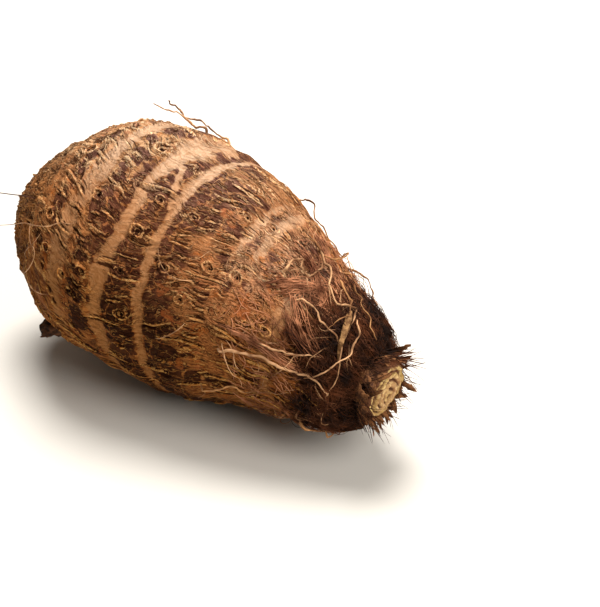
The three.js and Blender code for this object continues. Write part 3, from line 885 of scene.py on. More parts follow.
class SkinPaint(Paint):
    """Tan scars over streaked brown and purple skin, with raised veins and cracks along the grain."""

    def __init__(self):
        super().__init__("corm_skin", 0.7, 0.03)
        # slit holds painted shade and shadow round the slits, and the crumpled hollows; lip also holds
        # painted light on the sunlit floors of the slits.
        self.tan, self.dark, self.lip, self.slit = self.masks("paint")
        self.red, self.basal, self.rust, self.pit = self.masks("wear")
        self.calm = 1 - self.tan * 0.8
        # How far the plain form faces up; upper picks the lit copies of the purple and lip colours, as
        # painted light.
        self.skyward = self.part(self.vector("facing"), "Z")
        self.upper = self.skyward.step(*LIT_FACING_FROM)
        self.flow = self.vector("flow")
        self.bent = self.warped(self.flow, 0.16, 5)
        self.grain = self.stretched(self.bent, GRAIN_STRETCH)
        crumbs = self.noise(self.stretched(self.bent, CRUMB_STRETCH), 0.95, 5, 0.7)
        fibres = self.noise(self.grain, 0.95, 5, 0.7)
        self.streaks = crumbs + (fibres - crumbs) * self.part(self.flow, "X").step(*COMBED_FROM)
        self.threads = self.noise(self.grain, 2.6, 3, 0.6)
        self.blotches = self.noise(self.bent, 0.17, 3)
        self.speckles = self.noise(self.bent, 1.1, 4, 0.75)

    def ground(self):
        """Streaked brown, fibrous and redder towards the crown, with orange blotches."""
        colour = self.mix(self.streaks.step(0.38, 0.62), rgb(112, 64, 32), rgb(200, 140, 88))
        colour = self.mix(self.blotches.step(0.5, 0.72), colour, rgb(164, 102, 66))
        fibrous = self.mix(self.threads.step(0.36, 0.62), rgb(98, 52, 28), rgb(212, 148, 100))
        colour = self.mix(self.red * 0.85, colour, fibrous)
        orange = self.noise(self.bent, 0.12, 4, 0.65).step(0.56, 0.66)
        return self.mix(orange * 0.6, colour, rgb(186, 108, 50))

    def patches(self):
        """Where the dark skin shows: cells of the net that the dark mask picks out."""
        net = self.stretched(self.warped(self.flow, 0.3, 3.5), (0.62, 1, 1))
        sides, chance = self.cells(net, 0.17)
        picked = self.dark + (chance - 0.5) * 0.6
        inside = sides * 5.5 + self.dark * 0.42 + self.dark.step(0.83, 0.97) * 0.5
        return picked.ragged(self.streaks, 0.5) * inside.ragged(self.threads, 0.8)

    def purple(self):
        # Shaded and lit copies of each tone: darker where the skin faces down, lighter where it faces up,
        # as painted shade and light.
        deep = self.mix(self.upper, rgb(50, 25, 14), rgb(78, 42, 28))
        worn = self.mix(self.upper, rgb(100, 60, 36), rgb(146, 98, 72))
        return self.mix(self.streaks.step(0.4, 0.72), deep, worn)

    def cap(self):
        """The crumbly basal cap."""
        colour = self.mix(self.speckles.step(0.36, 0.62), rgb(96, 56, 30), rgb(200, 140, 86))
        return self.mix(self.blotches.step(0.44, 0.62) * 0.7, colour, rgb(84, 46, 24))

    def scar(self):
        """The smooth tan leaf scars."""
        fleck = (self.speckles + self.streaks) * 0.5
        return self.mix(fleck.step(0.38, 0.62), rgb(152, 106, 68), rgb(190, 144, 104))

    def rim(self):
        """The lips of the slits and the veins, each tone in a brighter, more orange copy where the skin
        faces down and a duller one where it faces up, as painted light.
        """
        shaded = self.mix(self.upper, rgb(214, 140, 70), rgb(180, 114, 58))
        bright = self.mix(self.upper, rgb(248, 204, 142), rgb(222, 174, 122))
        return self.mix(self.threads.step(0.36, 0.6), shaded, bright)

    def veins_and_shadows(self, patch):
        """Broken veins, fainter on the dark skin, and the painted shadow lines beside them, sunk in the
        bump, with the painted shade of the open slits.
        """
        net = self.stretched(self.warped(self.flow, 0.35, 3), (0.55, 1, 1))
        along = self.noise(self.grain, 0.62, 2, 0.5).lines()
        netted = self.noise(net, 0.3, 2, 0.5).lines()
        broken = self.blotches.step(0.36, 0.5)
        vein, crack_and_shade = (
            lines.or_more(others * self.basal) * self.calm * broken
            for lines, others in zip(along, netted)
        )
        return vein * (1 - patch * 0.35), crack_and_shade.or_more(self.slit.ragged(self.threads, 0.5))

    def painted_light(self):
        """Painted light and shade by how the plain form faces: golden and darker low down as painted
        shade, and paler and pinker where it faces up as a painted highlight.
        """
        painted_light = self.mix(self.skyward.step(*UPPER_LIGHT_FROM), LOW_PAINTED_SHADE, UPPER_PAINTED_LIGHT)
        return self.mix(self.skyward.step(*TOP_HIGHLIGHT_FROM), painted_light, TOP_PAINTED_HIGHLIGHT)


def skin_material():
    paint = SkinPaint()
    patch = paint.patches()
    vein, crack_and_shade = paint.veins_and_shadows(patch)
    colour = paint.mix(patch, paint.ground(), paint.purple())
    colour = paint.mix(paint.basal, colour, paint.cap())
    colour = paint.mix(paint.rust.ragged(paint.threads, 1) * 0.66, colour, rgb(182, 106, 60))
    colour = paint.mix(paint.tan.ragged(paint.streaks, 1.2, 0.32, 0.7), colour, paint.scar())
    # Painted shadow: a near-black brown on the shadow lines beside the veins and on the shaded parts of
    # the slits.
    colour = paint.mix(crack_and_shade * 0.9, colour, rgb(52, 22, 7))
    lip = (paint.lip - 0.1).ragged(paint.threads, 1.1)
    colour = paint.mix((vein * 0.6).or_more(lip), colour, paint.rim())
    colour = paint.mix(paint.pit.ragged(paint.speckles, 1), colour, rgb(50, 28, 17))
    grit = paint.noise(paint.bent, 2.2, 2).step(0.3, 0.75) * paint.calm
    colour = paint.mix(grit, colour, paint.mix(0.62, BLACK, colour))
    # Painted light and shade: the colour is multiplied darker and golden where the skin faces down, and
    # paler and pinker where it faces up.
    paint.colour(paint.mix(1, colour, paint.painted_light(), "MULTIPLY"))
    texture = paint.streaks * 1.3 + paint.speckles * 0.9
    paint.bump(vein - crack_and_shade + texture * paint.calm, SKIN_BUMP)
    return paint.material


def fibre_material(name, dark, pale, scale=DRIFT):
    """Plant fibre whose colour drifts from strand to strand and along each."""
    paint = Paint(name, 0.75)
    drift = paint.noise(paint.place(), scale, 3, 0.7)
    paint.colour(paint.mix(drift.step(0.35, 0.65), dark, pale))
    return paint.material


def crown_material():
    """Cut leaf bases: pale rings with a green tinge, brown between them and at the rim."""
    paint = Paint("crown_cut", 0.6)
    ring, green, bark, _ = paint.masks("paint")
    place = paint.place()
    speckles = paint.noise(place, 700, 3)
    stains = paint.noise(place, 190, 4, 0.7).step(0.42, 0.62)
    flesh = paint.mix(speckles.step(0.35, 0.65), rgb(214, 178, 128), rgb(160, 116, 76))
    flesh = paint.mix(green * 0.4, flesh, rgb(172, 160, 70))
    flesh = paint.mix(stains * 0.6, flesh, rgb(132, 86, 54))
    colour = paint.mix(ring.step(0.25, 0.85), flesh, rgb(84, 50, 30))
    colour = paint.mix(bark, colour, paint.mix(speckles, rgb(66, 36, 22), rgb(128, 84, 56)))
    paint.colour(colour)
    paint.bump(speckles, CROWN_BUMP)
    return paint.material


# ---- Meshes ----

def mesh_piece(name, vertices, faces, material, layers=None):
    """A smooth piece from vertices in millimetres and arrays of faces, riding on the corm's body."""
    mesh = bpy.data.meshes.new(name)
    mesh.vertices.add(len(vertices))
    mesh.vertices.foreach_set("co", (np.asarray(vertices) * MM).astype(np.float32).ravel())
    sizes = np.concatenate([np.full(len(group), group.shape[1]) for group in faces])
    corners = np.concatenate([group.ravel() for group in faces])
    mesh.loops.add(len(corners))
    mesh.loops.foreach_set("vertex_index", corners.astype(np.int32))
    mesh.polygons.add(len(sizes))
    mesh.polygons.foreach_set("loop_start", (np.cumsum(sizes) - sizes).astype(np.int32))
    mesh.polygons.foreach_set("use_smooth", np.ones(len(sizes), bool))
    mesh.update(calc_edges=True)
    for layer, values in (layers or {}).items():
        kind = "FLOAT_VECTOR" if values.shape[-1] == 3 else "FLOAT_COLOR"
        attribute = mesh.attributes.new(layer, kind, "POINT")
        field = "vector" if values.shape[-1] == 3 else "color"
        attribute.data.foreach_set(field, values.astype(np.float32).ravel())
    mesh.materials.append(material)
    piece = bpy.data.objects.new(name, mesh)
    bpy.context.scene.collection.objects.link(piece)
    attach(piece, "root")
    return piece


def grid_faces(rows, columns, first=0):
    """Quads between neighbouring rows of points, each row closed into a ring."""
    row, column = np.meshgrid(np.arange(rows - 1), np.arange(columns), indexing="ij")
    nearer = first + row * columns
    after = (column + 1) % columns
    quads = (nearer + column, nearer + after, nearer + columns + after, nearer + columns + column)
    return np.stack(quads, -1).reshape(-1, 4)


def cap_faces(ring_start, columns, tip, inwards):
    """Triangles from a ring of points to a tip."""
    column = np.arange(columns)
    ends = (ring_start + (column + 1) % columns, ring_start + column)
    if inwards:
        ends = ends[::-1]
    return np.stack((np.full(columns, tip),) + ends, -1)


def cup_mesh(points):
    """Vertices and faces of rows of points, the last of them closed by a tip in its middle."""
    rows, columns = points.shape[:2]
    count = rows * columns
    vertices = np.concatenate((points.reshape(-1, 3), points[-1].mean(0)[None]))
    return vertices, [grid_faces(rows, columns), cap_faces(count - columns, columns, count, True)]


def clear_of_table(points, height):
    points[..., 2] = np.maximum(points[..., 2], height)
    return points


def circle_points(turn, height=0):
    """Points round a circle of radius 1, for noise that closes on itself."""
    return np.stack(np.broadcast_arrays(np.cos(turn), np.sin(turn), height), -1)


def turns(count):
    return 2 * math.pi * np.arange(count) / count


def paint_layers(masks, station, angle, flow):
    """The masks, the grain's own coordinates and the way that the plain form faces."""
    def packed(*names):
        columns = [np.broadcast_to(masks[name], flow.shape[:-1]) for name in names]
        return np.stack(columns, -1).reshape(-1, 4)

    return {
        "paint": packed("tan", "dark", "lip", "slit"),
        "wear": packed("red", "basal", "rust", "pit"),
        "flow": flow.reshape(-1, 3),
        "facing": skin_frame(station, angle)[3].reshape(-1, 3),
    }


# ---- The corm's skin ----

EYE_STRETCH = 1.25
EYE_WELL = 1.5
EYE_WELL_REACH = 0.8
EYE_CALM_REACH = 1.5
POLE_REACH = 6

# Strength, size and seed of the noise in the skin's fine relief.
LUMPS = (0.32, 7, 51)
STREAKS = (0.2, 1.6, 52)
ROUGHNESS = ((1, 3.4, 53), (0.6, 1.6, 54))
ROUGH_RINGS = (0.7, 3, 55)
CROWN_STRANDS = (1, 1.7, 56)
STREAK_STRETCH = 0.2
RING_STRETCH = (1, 0.3, 0.3)
STRAND_STRETCH = 0.12
BASAL_ROUGHNESS = 0.55
CROWN_ROUGHNESS = 0.6
CROWN_ROUGH_FROM = (0.72, 0.9)
TAN_SMOOTHNESS = 0.7

CRUMPLES_START = (0.13, 0.19)
CRUMPLES_END = (0.31, 0.4)
CRUMPLE_BEND = 2.4
CRUMPLE_SPARING = 0.8
CREST_NOISE = (1, 4.6, 60)
CREST_STRETCH = (0.7, 1, 1)
CREST_WIDTH = 0.17
CREST_HEIGHT = 0.75
CREST_SHARE = 0.8
HOLLOW_NOISE = (1, 4, 61)
HOLLOW_STRETCH = (0.75, 1, 1)
HOLLOW_EDGE = (0.22, 0.5)
HOLLOW_DEPTH = 0.7
HOLLOW_SHARE = 0.8
SHORE_HEIGHT = 0.6
SHORE_SHARE = 0.6


def eye_nearness(arc, column, reach):
    """1 at the middle of a bud eye, falling to 0 beyond the given share of its radius."""
    near = 0
    for eye_arc, eye_column, eye_girth, radius in EYE_PLACES:
        ahead = (arc - eye_arc) / (EYE_STRETCH * radius * reach)
        aside = wrap(column - eye_column) * eye_girth / (radius * reach)
        near = np.maximum(near, np.exp(-(ahead**2) - aside**2))
    return near


def shoulder_crumples(station, arc, column, tan):
    """Thin crests and dark hollows of the crumpled skin between the basal cap and the first band."""
    rolled = grain_cell(arc, column)
    bent = rolled + CRUMPLE_BEND * noise_vector(rolled, 5, 57)
    zone = step(station, *CRUMPLES_START) * (1 - step(station, *CRUMPLES_END))
    zone = zone * (1 - CRUMPLE_SPARING * tan)
    crest = np.exp(-((layered(bent * CREST_STRETCH, CREST_NOISE) / CREST_WIDTH) ** 2))
    hollow = step(layered(bent * HOLLOW_STRETCH, HOLLOW_NOISE) - crest, *HOLLOW_EDGE)
    return crest * zone, hollow * zone


def fine_relief(station, arc, column, masks):
    """Lumps, streaks and roughness of the skin, apart from slits and eyes."""
    rolled = grain_cell(arc, column)
    lumps = layered(rolled, LUMPS) + layered(grain_cell(arc * STREAK_STRETCH, column), STREAKS)
    rings = layered(grain_cell(arc * 2, column) * RING_STRETCH, ROUGH_RINGS)
    rough = (layered(rolled, *ROUGHNESS) + rings) * masks["basal"]
    strands = layered(grain_cell(arc * STRAND_STRETCH, column), CROWN_STRANDS)
    strands = strands * step(station, *CROWN_ROUGH_FROM)
    lumps = lumps * (1 - TAN_SMOOTHNESS * masks["tan"])
    return lumps + BASAL_ROUGHNESS * rough + CROWN_ROUGHNESS * strands


def skin_height(arcs, columns, station, masks):
    """How far the skin stands over the plain form. The shares of lip and slit go into the masks; the slit
    share, painted shade and shadow round the slits, also takes the crumpled hollows.
    """
    arc, column = np.meshgrid(arcs, columns, indexing="ij")
    height, lip, slit = slit_relief(arcs, columns)
    crest, hollow = shoulder_crumples(station, arc, column, masks["tan"])
    height = height + CREST_HEIGHT * crest - HOLLOW_DEPTH * hollow + SHORE_HEIGHT * masks["shore"]
    masks["lip"] = np.maximum(np.maximum(lip, CREST_SHARE * crest), SHORE_SHARE * masks["shore"])
    masks["slit"] = np.maximum(slit, HOLLOW_SHARE * hollow)
    calm = 1 - eye_nearness(arc, column, EYE_CALM_REACH)
    height = (height + fine_relief(station, arc, column, masks)) * calm
    height = height - EYE_WELL * eye_nearness(arc, column, EYE_WELL_REACH)
    return height * np.minimum(1, np.minimum(arc, ARC_LENGTHS[-1] - arc) / POLE_REACH)


def build_skin(material):
    arcs = ARC_LENGTHS[-1] * (np.arange(SKIN_RINGS) + 0.5) / SKIN_RINGS
    columns = turns(SKIN_COLUMNS)
    arc, column = np.meshgrid(arcs, columns, indexing="ij")
    station = station_at(arc)
    angle = grain_angle(arc, column)
    masks = skin_paint(station, angle, arc, column)
    height = skin_height(arcs, columns, station, masks)
    points = clear_of_table(over_skin(station, angle, height), 0)
    poles = skin_point(np.array((0, 1)), np.zeros(2))
    vertices = np.concatenate((points.reshape(-1, 3), poles))
    count = SKIN_RINGS * SKIN_COLUMNS
    faces = [
        grid_faces(SKIN_RINGS, SKIN_COLUMNS),
        cap_faces(0, SKIN_COLUMNS, count, False),
        cap_faces(count - SKIN_COLUMNS, SKIN_COLUMNS, count + 1, True),
    ]
    layers = paint_layers(masks, station, angle, grain_cell(arc, column))
    layers = {name: np.concatenate((values, values[[0, -1]])) for name, values in layers.items()}
    skin = mesh_piece("corm_skin", vertices, faces, material, layers)
    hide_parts("corm")
    return skin


# ---- Bud eyes: a crumpled pale rim round a dark pit ----

EYE_SIDES = 22
EYE_STRENGTHS = (0.7, 1)
EYE_SEEDS = (0, 1000)
EYE_SKIRT = 1.4
EYE_FLATTENING = 0.4
EYE_WOBBLES = ((0.2, 0.8), (0.1, 0.35))
EYE_CRUMPLES = ((1, 1.1), (0.6, 0.55))
EYE_CRUMPLE_HEIGHT = 0.22
EYE_BREAKS = (0.35, 0.7)
EYE_LEAST_RIM = 0.85
RIM_CRUMPLE = 0.5
PIT_CRUMPLE = 0.8
PLAIN_EYE_RADIUS = 2.2
# Height over the skin, rim share and pit share by share of the rim's radius.
EYE_SHARES = (0.14, 0.24, 0.36, 0.46, 0.58, 0.7, 0.82, 0.94, 1.06, 1.28, 1.55, 1.9)
EYE_HEIGHTS = (-1, -0.85, -0.35, -0.2, -0.4, 0.1, 0.65, 0.75, 0.45, 0.12, -0.35, -1.2)
EYE_RIMS = (0, 0.1, 0.7, 0.75, 0.25, 0.3, 0.85, 1, 0.6, 0.15, 0, 0)
EYE_PITS = (1, 0.95, 0.3, 0.1, 0.55, 0.35, 0, 0, 0, 0, 0, 0)


def eye_form(radius, seed, strength):
    """One eye's spread along and round the skin, its height over it, and its masks' lip and pit."""
    turn = turns(EYE_SIDES)
    circle = circle_points(turn)
    shares, profile, rim, pit = (
        np.array(values)[:, None] for values in (EYE_SHARES, EYE_HEIGHTS, EYE_RIMS, EYE_PITS)
    )
    wobble = 1 + layered(circle, *((push, size, seed) for push, size in EYE_WOBBLES))
    ahead = EYE_STRETCH * radius * shares * wobble * np.cos(turn)
    aside = radius * shares * wobble * np.sin(turn)
    spots = np.stack((ahead, aside, np.zeros_like(aside)), -1)
    crumple = layered(spots, *((*row, seed + i) for i, row in enumerate(EYE_CRUMPLES)))
    broken = EYE_LEAST_RIM + layered(circle, (*EYE_BREAKS, seed + 2))
    flattened = profile * (EYE_FLATTENING + (1 - EYE_FLATTENING) * strength)
    profile = np.where(shares < EYE_SKIRT, flattened, profile)
    height = (profile + EYE_CRUMPLE_HEIGHT * crumple) * radius / PLAIN_EYE_RADIUS
    lip = np.clip(rim * (1 + RIM_CRUMPLE * crumple) * strength * broken, 0, 1)
    return ahead, aside, height, lip, np.clip(pit * (1 - PIT_CRUMPLE * crumple) * strength, 0, 1)


def eye_points(station, angle, form):
    """One eye's points, its middle last, with the colour layers of each."""
    ahead, aside, height, lip, pit = form
    arc = arc_at(station) + ahead
    stations = station_at(arc)
    angles = angle + aside / girth_radius(stations)
    column = column_of(stations, angles)
    masks = skin_paint(stations, angles, arc_at(stations), column)
    masks["lip"] = lip
    masks["pit"] = pit
    points = over_skin(stations, angles, height).reshape(-1, 3)
    middle = over_skin(np.array([station]), np.array([angle]), height[:1, 0])
    layers = paint_layers(masks, stations, angles, grain_cell(arc_at(stations), column))
    layers = {name: np.concatenate((values, values[:1])) for name, values in layers.items()}
    return np.concatenate((points, middle)), layers


def build_eyes(material):
    draw = make_draw(EYE_SEED)
    vertices, faces, layers = [], [], []
    first = 0
    for station, degrees, radius in EYES:
        form = eye_form(radius, int(draw(*EYE_SEEDS)), draw(*EYE_STRENGTHS))
        points, here = eye_points(station, math.radians(degrees), form)
        vertices.append(points)
        layers.append(here)
        tip = first + len(points) - 1
        faces.append(grid_faces(len(EYE_SHARES), EYE_SIDES, first))
        faces.append(cap_faces(first, EYE_SIDES, tip, False))
        first = tip + 1
    joined = {name: np.concatenate([layer[name] for layer in layers]) for name in layers[0]}
    return mesh_piece("bud_eyes", np.concatenate(vertices), faces, material, joined)


# ---- Tubes: rootlets, sheath fibres and hairs ----

TUBE_ASIDE = (0.31, 0.52, 0.79)


def tube_frames(paths, wide):
    """Two directions square to each path at each of its points, the first starting near wide."""
    tangents = unit(np.gradient(paths, axis=1))
    aside = np.broadcast_to(np.asarray(wide, float), tangents[:, 0].shape)
    sides = np.zeros_like(paths)
    for i in range(paths.shape[1]):
        tangent = tangents[:, i]
        aside = unit(aside - tangent * np.sum(aside * tangent, -1, keepdims=True))
        sides[:, i] = aside
    return sides, np.cross(tangents, sides)


def tube_mesh(paths, radii, sides, wide=TUBE_ASIDE, flatness=1):
    """Vertices and faces of closed tubes along paths of equal length, their ends single points."""
    first_side, second_side = tube_frames(paths, wide)
    second_side = second_side * flatness
    turn = turns(sides)
    ring = (
        first_side[:, 1:-1, None] * np.cos(turn)[:, None]
        + second_side[:, 1:-1, None] * np.sin(turn)[:, None]
    )
    rings = paths[:, 1:-1, None] + ring * radii[:, 1:-1, None, None]
    vertices, faces = [], []
    first = 0
    for path, body in zip(paths, rings):
        count = body.shape[0] * sides
        vertices += [body.reshape(-1, 3), path[[0, -1]]]
        faces += [
            grid_faces(body.shape[0], sides, first),
            cap_faces(first, sides, first + count, False),
            cap_faces(first + count - sides, sides, first + count + 1, True),
        ]
        first += count + 2
    return np.concatenate(vertices), faces


def tube_piece(name, paths, radii, sides, material, slot="fibre", **form):
    """Tubes along paths as one piece; form is their wide side and how flat they are."""
    vertices, faces = tube_mesh(np.asarray(paths), np.asarray(radii), sides, **form)
    return mesh_piece(name, vertices, faces, material)


def route_points(route):
    """Points over the skin from rows of station, angle in degrees and height."""
    stations, degrees, heights = np.array(route).T
    return over_skin(stations, np.radians(degrees), heights)


def curve_through(points, count):
    """A smooth curve through points, as count points."""
    points = np.asarray(points, float)
    last = len(points) - 1
    at = np.linspace(0, last, count)
    start = np.minimum(at.astype(int), last - 1)
    share = (at - start)[:, None]
    before = points[np.maximum(start - 1, 0)]
    here = points[start]
    there = points[start + 1]
    after = points[np.minimum(start + 2, last)]
    bend = 2 * before - 5 * here + 4 * there - after + share * (3 * (here - there) + after - before)
    return here + 0.5 * share * (there - before + share * bend)


def straight_between(points, count):
    """The straight stretches between points, as count points."""
    at = np.linspace(0, len(points) - 1, count)
    rows = np.arange(len(points))
    return np.stack([np.interp(at, rows, column) for column in np.asarray(points).T], -1)


ROOTLET_POINTS = 48
ROOTLET_SIDES = 7
ROOTLET_WOBBLES = ((0.75, 3.4), (0.3, 1.3))
WOBBLE_SEED = 61
ROOTLET_LUMPS = ((0.45, 3, 64), (0.2, 1, 65))
KNOWN_THINNESS = 0.52
DRAWN_THINNESS = 0.44
ROOTLET_KINK = 0.7
ROOTLET_FLATNESS = 0.6


def drawn_rootlets():
    """Rootlets of the hidden side, as in the part's source."""
    draw = make_draw(ROOTLET_SEED)
    rows = []
    for _ in range(DRAWN_ROOTLETS):
        station = spread(draw(0, 1) ** ROOTLET_CROWDING, ROOTLET_STATIONS)
        angle = math.radians(draw(*ROOTLET_ANGLES))
        heading = draw(*ROOTLET_HEADINGS)
        radius = draw(*ROOTLET_RADII)
        route = [(station, math.degrees(angle), -ROOTLET_SUNK)]
        for _ in range(ROOTLET_STEPS):
            station = min(LAST_ROOTLET_STATION, station + ROOTLET_STEP * math.cos(heading) / LENGTH)
            angle += ROOTLET_STEP * math.sin(heading) / girth_radius(station)
            heading += draw(*ROOTLET_TURNS)
            route.append((station, math.degrees(angle), draw(*ROOTLET_HEIGHTS)))
        rows.append((radius, tuple(route)))
    return tuple(rows)


def build_rootlets(name, rootlets, thinness, material):
    paths, radii = [], []
    for radius, route in rootlets:
        least_height = radius + TABLE_CLEARANCE
        control = clear_of_table(route_points(route), least_height)
        path = curve_through(control, ROOTLET_POINTS)
        path = path + ROOTLET_KINK * (straight_between(control, ROOTLET_POINTS) - path)
        for push, size in ROOTLET_WOBBLES:
            path = path + push * noise_vector(path, size, WOBBLE_SEED)
        path = clear_of_table(path, least_height)
        taper = thinness * (1 - (1 - ROOTLET_TAPER) * np.linspace(0, 1, ROOTLET_POINTS))
        paths.append(path)
        radii.append(radius * taper * (1 + layered(path, *ROOTLET_LUMPS)))
    tube_piece(name, paths, radii, ROOTLET_SIDES, material, "rootlet", flatness=ROOTLET_FLATNESS)


# The papery skin of a dead rootlet: station, angle in degrees, height over the skin.
STRAP = (
    (0.915, 94, 2.2), (0.922, 102, 2.9), (0.93, 113, 3.2), (0.935, 123, 3), (0.939, 132, 2.6),
    (0.945, 141, 2.2),
)
STRAP_POINTS = 24
STRAP_SIDES = 10
STRAP_RADIUS = 1.05
STRAP_END_SHARE = 0.12
STRAP_WIDEST = 0.7
STRAP_FORM = {"wide": (1, 0, 0), "flatness": 0.16}
STRAP_SWAY = 0.5
STRAP_SWAY_SEED = 66
STRAP_LUMPS = (0.3, 1.5, 69)


def build_strap(material):
    path = curve_through(route_points(STRAP), STRAP_POINTS)
    path = path + STRAP_SWAY * noise_vector(path, 3, STRAP_SWAY_SEED)
    widening = np.sin(math.pi * np.linspace(0, 1, STRAP_POINTS) ** STRAP_WIDEST)
    radii = STRAP_RADIUS * (STRAP_END_SHARE + widening) * (1 + layered(path, STRAP_LUMPS))
    tube_piece("rootlet_strap", path[None], radii[None], STRAP_SIDES, material, "rootlet", **STRAP_FORM)


FIBRE_STRANDS = 12
FIBRE_POINTS = 14
FIBRE_STRAND_RADIUS = 0.24
STRAND_SIDES = 4
STRAND_THICKNESSES = (0.7, 1.3)
BUNDLE_WIDTH = 0.8
BUNDLE_TWISTS = (-2, 2)
BUNDLE_OFFSETS = (0.2, 1)
BUNDLE_FRAYS = (0, 1.6)


def sheath_routes():
    """The routes of the leaf-sheath fibres, as in the part's source."""
    draw = make_draw(SHEATH_SEED)
    share = np.arange(SHEATH_STEPS + 1) / SHEATH_STEPS
    rows = []
    for i in range(SHEATH_FIBRES):
        angle = 2 * math.pi * (i + draw(*SHEATH_SPREAD)) / SHEATH_FIBRES
        twist = draw(*SHEATH_TWISTS)
        lift = draw(*SHEATH_LIFTS)
        heights = SHEATH_LEVEL + lift * share**2
        heights[0] = -ROOTLET_SUNK
        stations = SHEATH_STATION + SHEATH_REACH * share
        points = over_skin(stations, angle + twist * share, heights)
        rows.append(clear_of_table(points, SHEATH_RADIUS + TABLE_CLEARANCE))
    return rows


def bundle_paths(draw, control):
    """Strands that wind round a route and fray towards its end."""
    middle = curve_through(control, FIBRE_POINTS)
    first_side, second_side = tube_frames(middle[None], TUBE_ASIDE)
    share = np.linspace(0, 1, FIBRE_POINTS)
    paths = []
    for _ in range(FIBRE_STRANDS):
        turn = draw(0, 2 * math.pi) + draw(*BUNDLE_TWISTS) * share
        off = draw(*BUNDLE_OFFSETS) * BUNDLE_WIDTH * (1 + draw(*BUNDLE_FRAYS) * share**2)
        offset = first_side[0] * np.cos(turn)[:, None] + second_side[0] * np.sin(turn)[:, None]
        paths.append(clear_of_table(middle + offset * off[:, None], TABLE_CLEARANCE))
    return paths


def strands_piece(name, paths, draw, radius, material):
    thickness = np.array([draw(*STRAND_THICKNESSES) for _ in paths])[:, None] * np.ones(FIBRE_POINTS)
    tube_piece(name, paths, radius * thickness, STRAND_SIDES, material)


# Flat bundles of fibre that stand out: station, angle in degrees, height over the skin.
MARKED_BUNDLES = (
    ((0.78, 123, -0.5), (0.8, 117, 0.8), (0.82, 110, 1.6), (0.84, 103, 1.8), (0.86, 97, 0.4)),
    ((0.76, 129, -0.5), (0.79, 120, 0.9), (0.81, 112, 1.4), (0.835, 105, 1.2), (0.87, 100, 0.3)),
    ((0.75, 84, -0.5), (0.78, 86, 0.8), (0.81, 91, 1.2), (0.84, 94, 1), (0.87, 92, 0.2)),
    ((0.76, 90, -0.5), (0.79, 88, 0.9), (0.82, 90, 1), (0.85, 99, 0.8), (0.88, 108, 0.2)),
    ((0.82, 118, -0.5), (0.84, 124, 1.6), (0.86, 133, 2.6), (0.885, 140, 2), (0.905, 146, 0.3)),
    ((0.83, 128, -0.5), (0.85, 136, 1.4), (0.87, 143, 2.4), (0.9, 147, 1.8), (0.92, 149, 0.2)),
    ((0.72, 160, -0.5), (0.76, 158, 0.9), (0.8, 160, 1.2), (0.84, 164, 1.2), (0.88, 170, 0.2)),
    ((0.74, 60, -0.5), (0.78, 63, 0.8), (0.82, 68, 1.1), (0.86, 76, 1.2), (0.9, 80, 0.2)),
)


def build_sheath(material):
    draw = make_draw(SHEATH_STRAND_SEED)
    paths = [path for control in sheath_routes() for path in bundle_paths(draw, control)]
    strands_piece("sheath_fibres", paths, draw, FIBRE_STRAND_RADIUS, material)


MARKED_STRANDS = 16
MARKED_SPREAD = 2.6
MARKED_STRAND_RADIUS = 0.14
MARKED_SWAY = 0.9
MARKED_SEEDS = (0, 500)
MARKED_OFFSETS = (-0.5, 0.5)
MARKED_PARTING = (-0.8, 0.8)
MARKED_STARTS = (-3, 3)
MARKED_SKEW = 0.35
MARKED_LIFTS = (0.3, 1)
MARKED_LEVELS = (-0.2, 0.3)


def build_marked_bundles(material):
    """Fibres that lie side by side along each marked route and part towards its end."""
    draw = make_draw(BUNDLE_SEED)
    paths = []
    for route in MARKED_BUNDLES:
        stations, degrees, heights = np.array(route).T
        share = np.linspace(0, 1, len(route))
        for _ in range(MARKED_STRANDS):
            off = MARKED_SPREAD * (draw(*MARKED_OFFSETS) + draw(*MARKED_PARTING) * share)
            ahead = stations + draw(*MARKED_STARTS) / LENGTH + MARKED_SKEW * off / LENGTH
            turned = np.radians(degrees) + off / girth_radius(stations)
            control = over_skin(ahead, turned, heights * draw(*MARKED_LIFTS) + draw(*MARKED_LEVELS))
            path = curve_through(control, FIBRE_POINTS)
            seed = int(draw(*MARKED_SEEDS))
            paths.append(path + MARKED_SWAY * noise_vector(path, 3, seed))
    strands_piece("fibre_bundles", paths, draw, MARKED_STRAND_RADIUS, material)


# Loose hairs: how many, then the limits of their stations, lengths and heights over the skin, the
# spread of their headings and of their turns, their crowding and their radius.
HAIRS = {
    "crown_hairs": (1500, (0.845, 0.97), (6, 16), (0.6, 3.2), 1.2, 0.22, 0.7, 0.17),
    "tangled_hairs": (900, (0.86, 0.985), (7, 22), (0.8, 4.5), 2.6, 0.5, 0.7, 0.14),
    "red_fibres": (900, (0.7, 0.95), (5, 18), (0.5, 2), 1.1, 0.25, 0.8, 0.18),
    "pale_hairs": (110, (0.55, 0.95), (6, 24), (0.6, 4), 3.1, 0.35, 0.6, 0.2),
}
HAIR_POINTS = 11
HAIR_SIDES = 3
HAIR_TAPER = 0.6
HAIR_THICKNESSES = (0.75, 1.25)
HAIR_KINDS = 7
HAIR_ROOT = -0.6
HAIR_RISE = 1.15
HAIR_ARCH = 0.7
LAST_HAIR_STATION = 0.985
HAIR_LEAST_GIRTH = 8


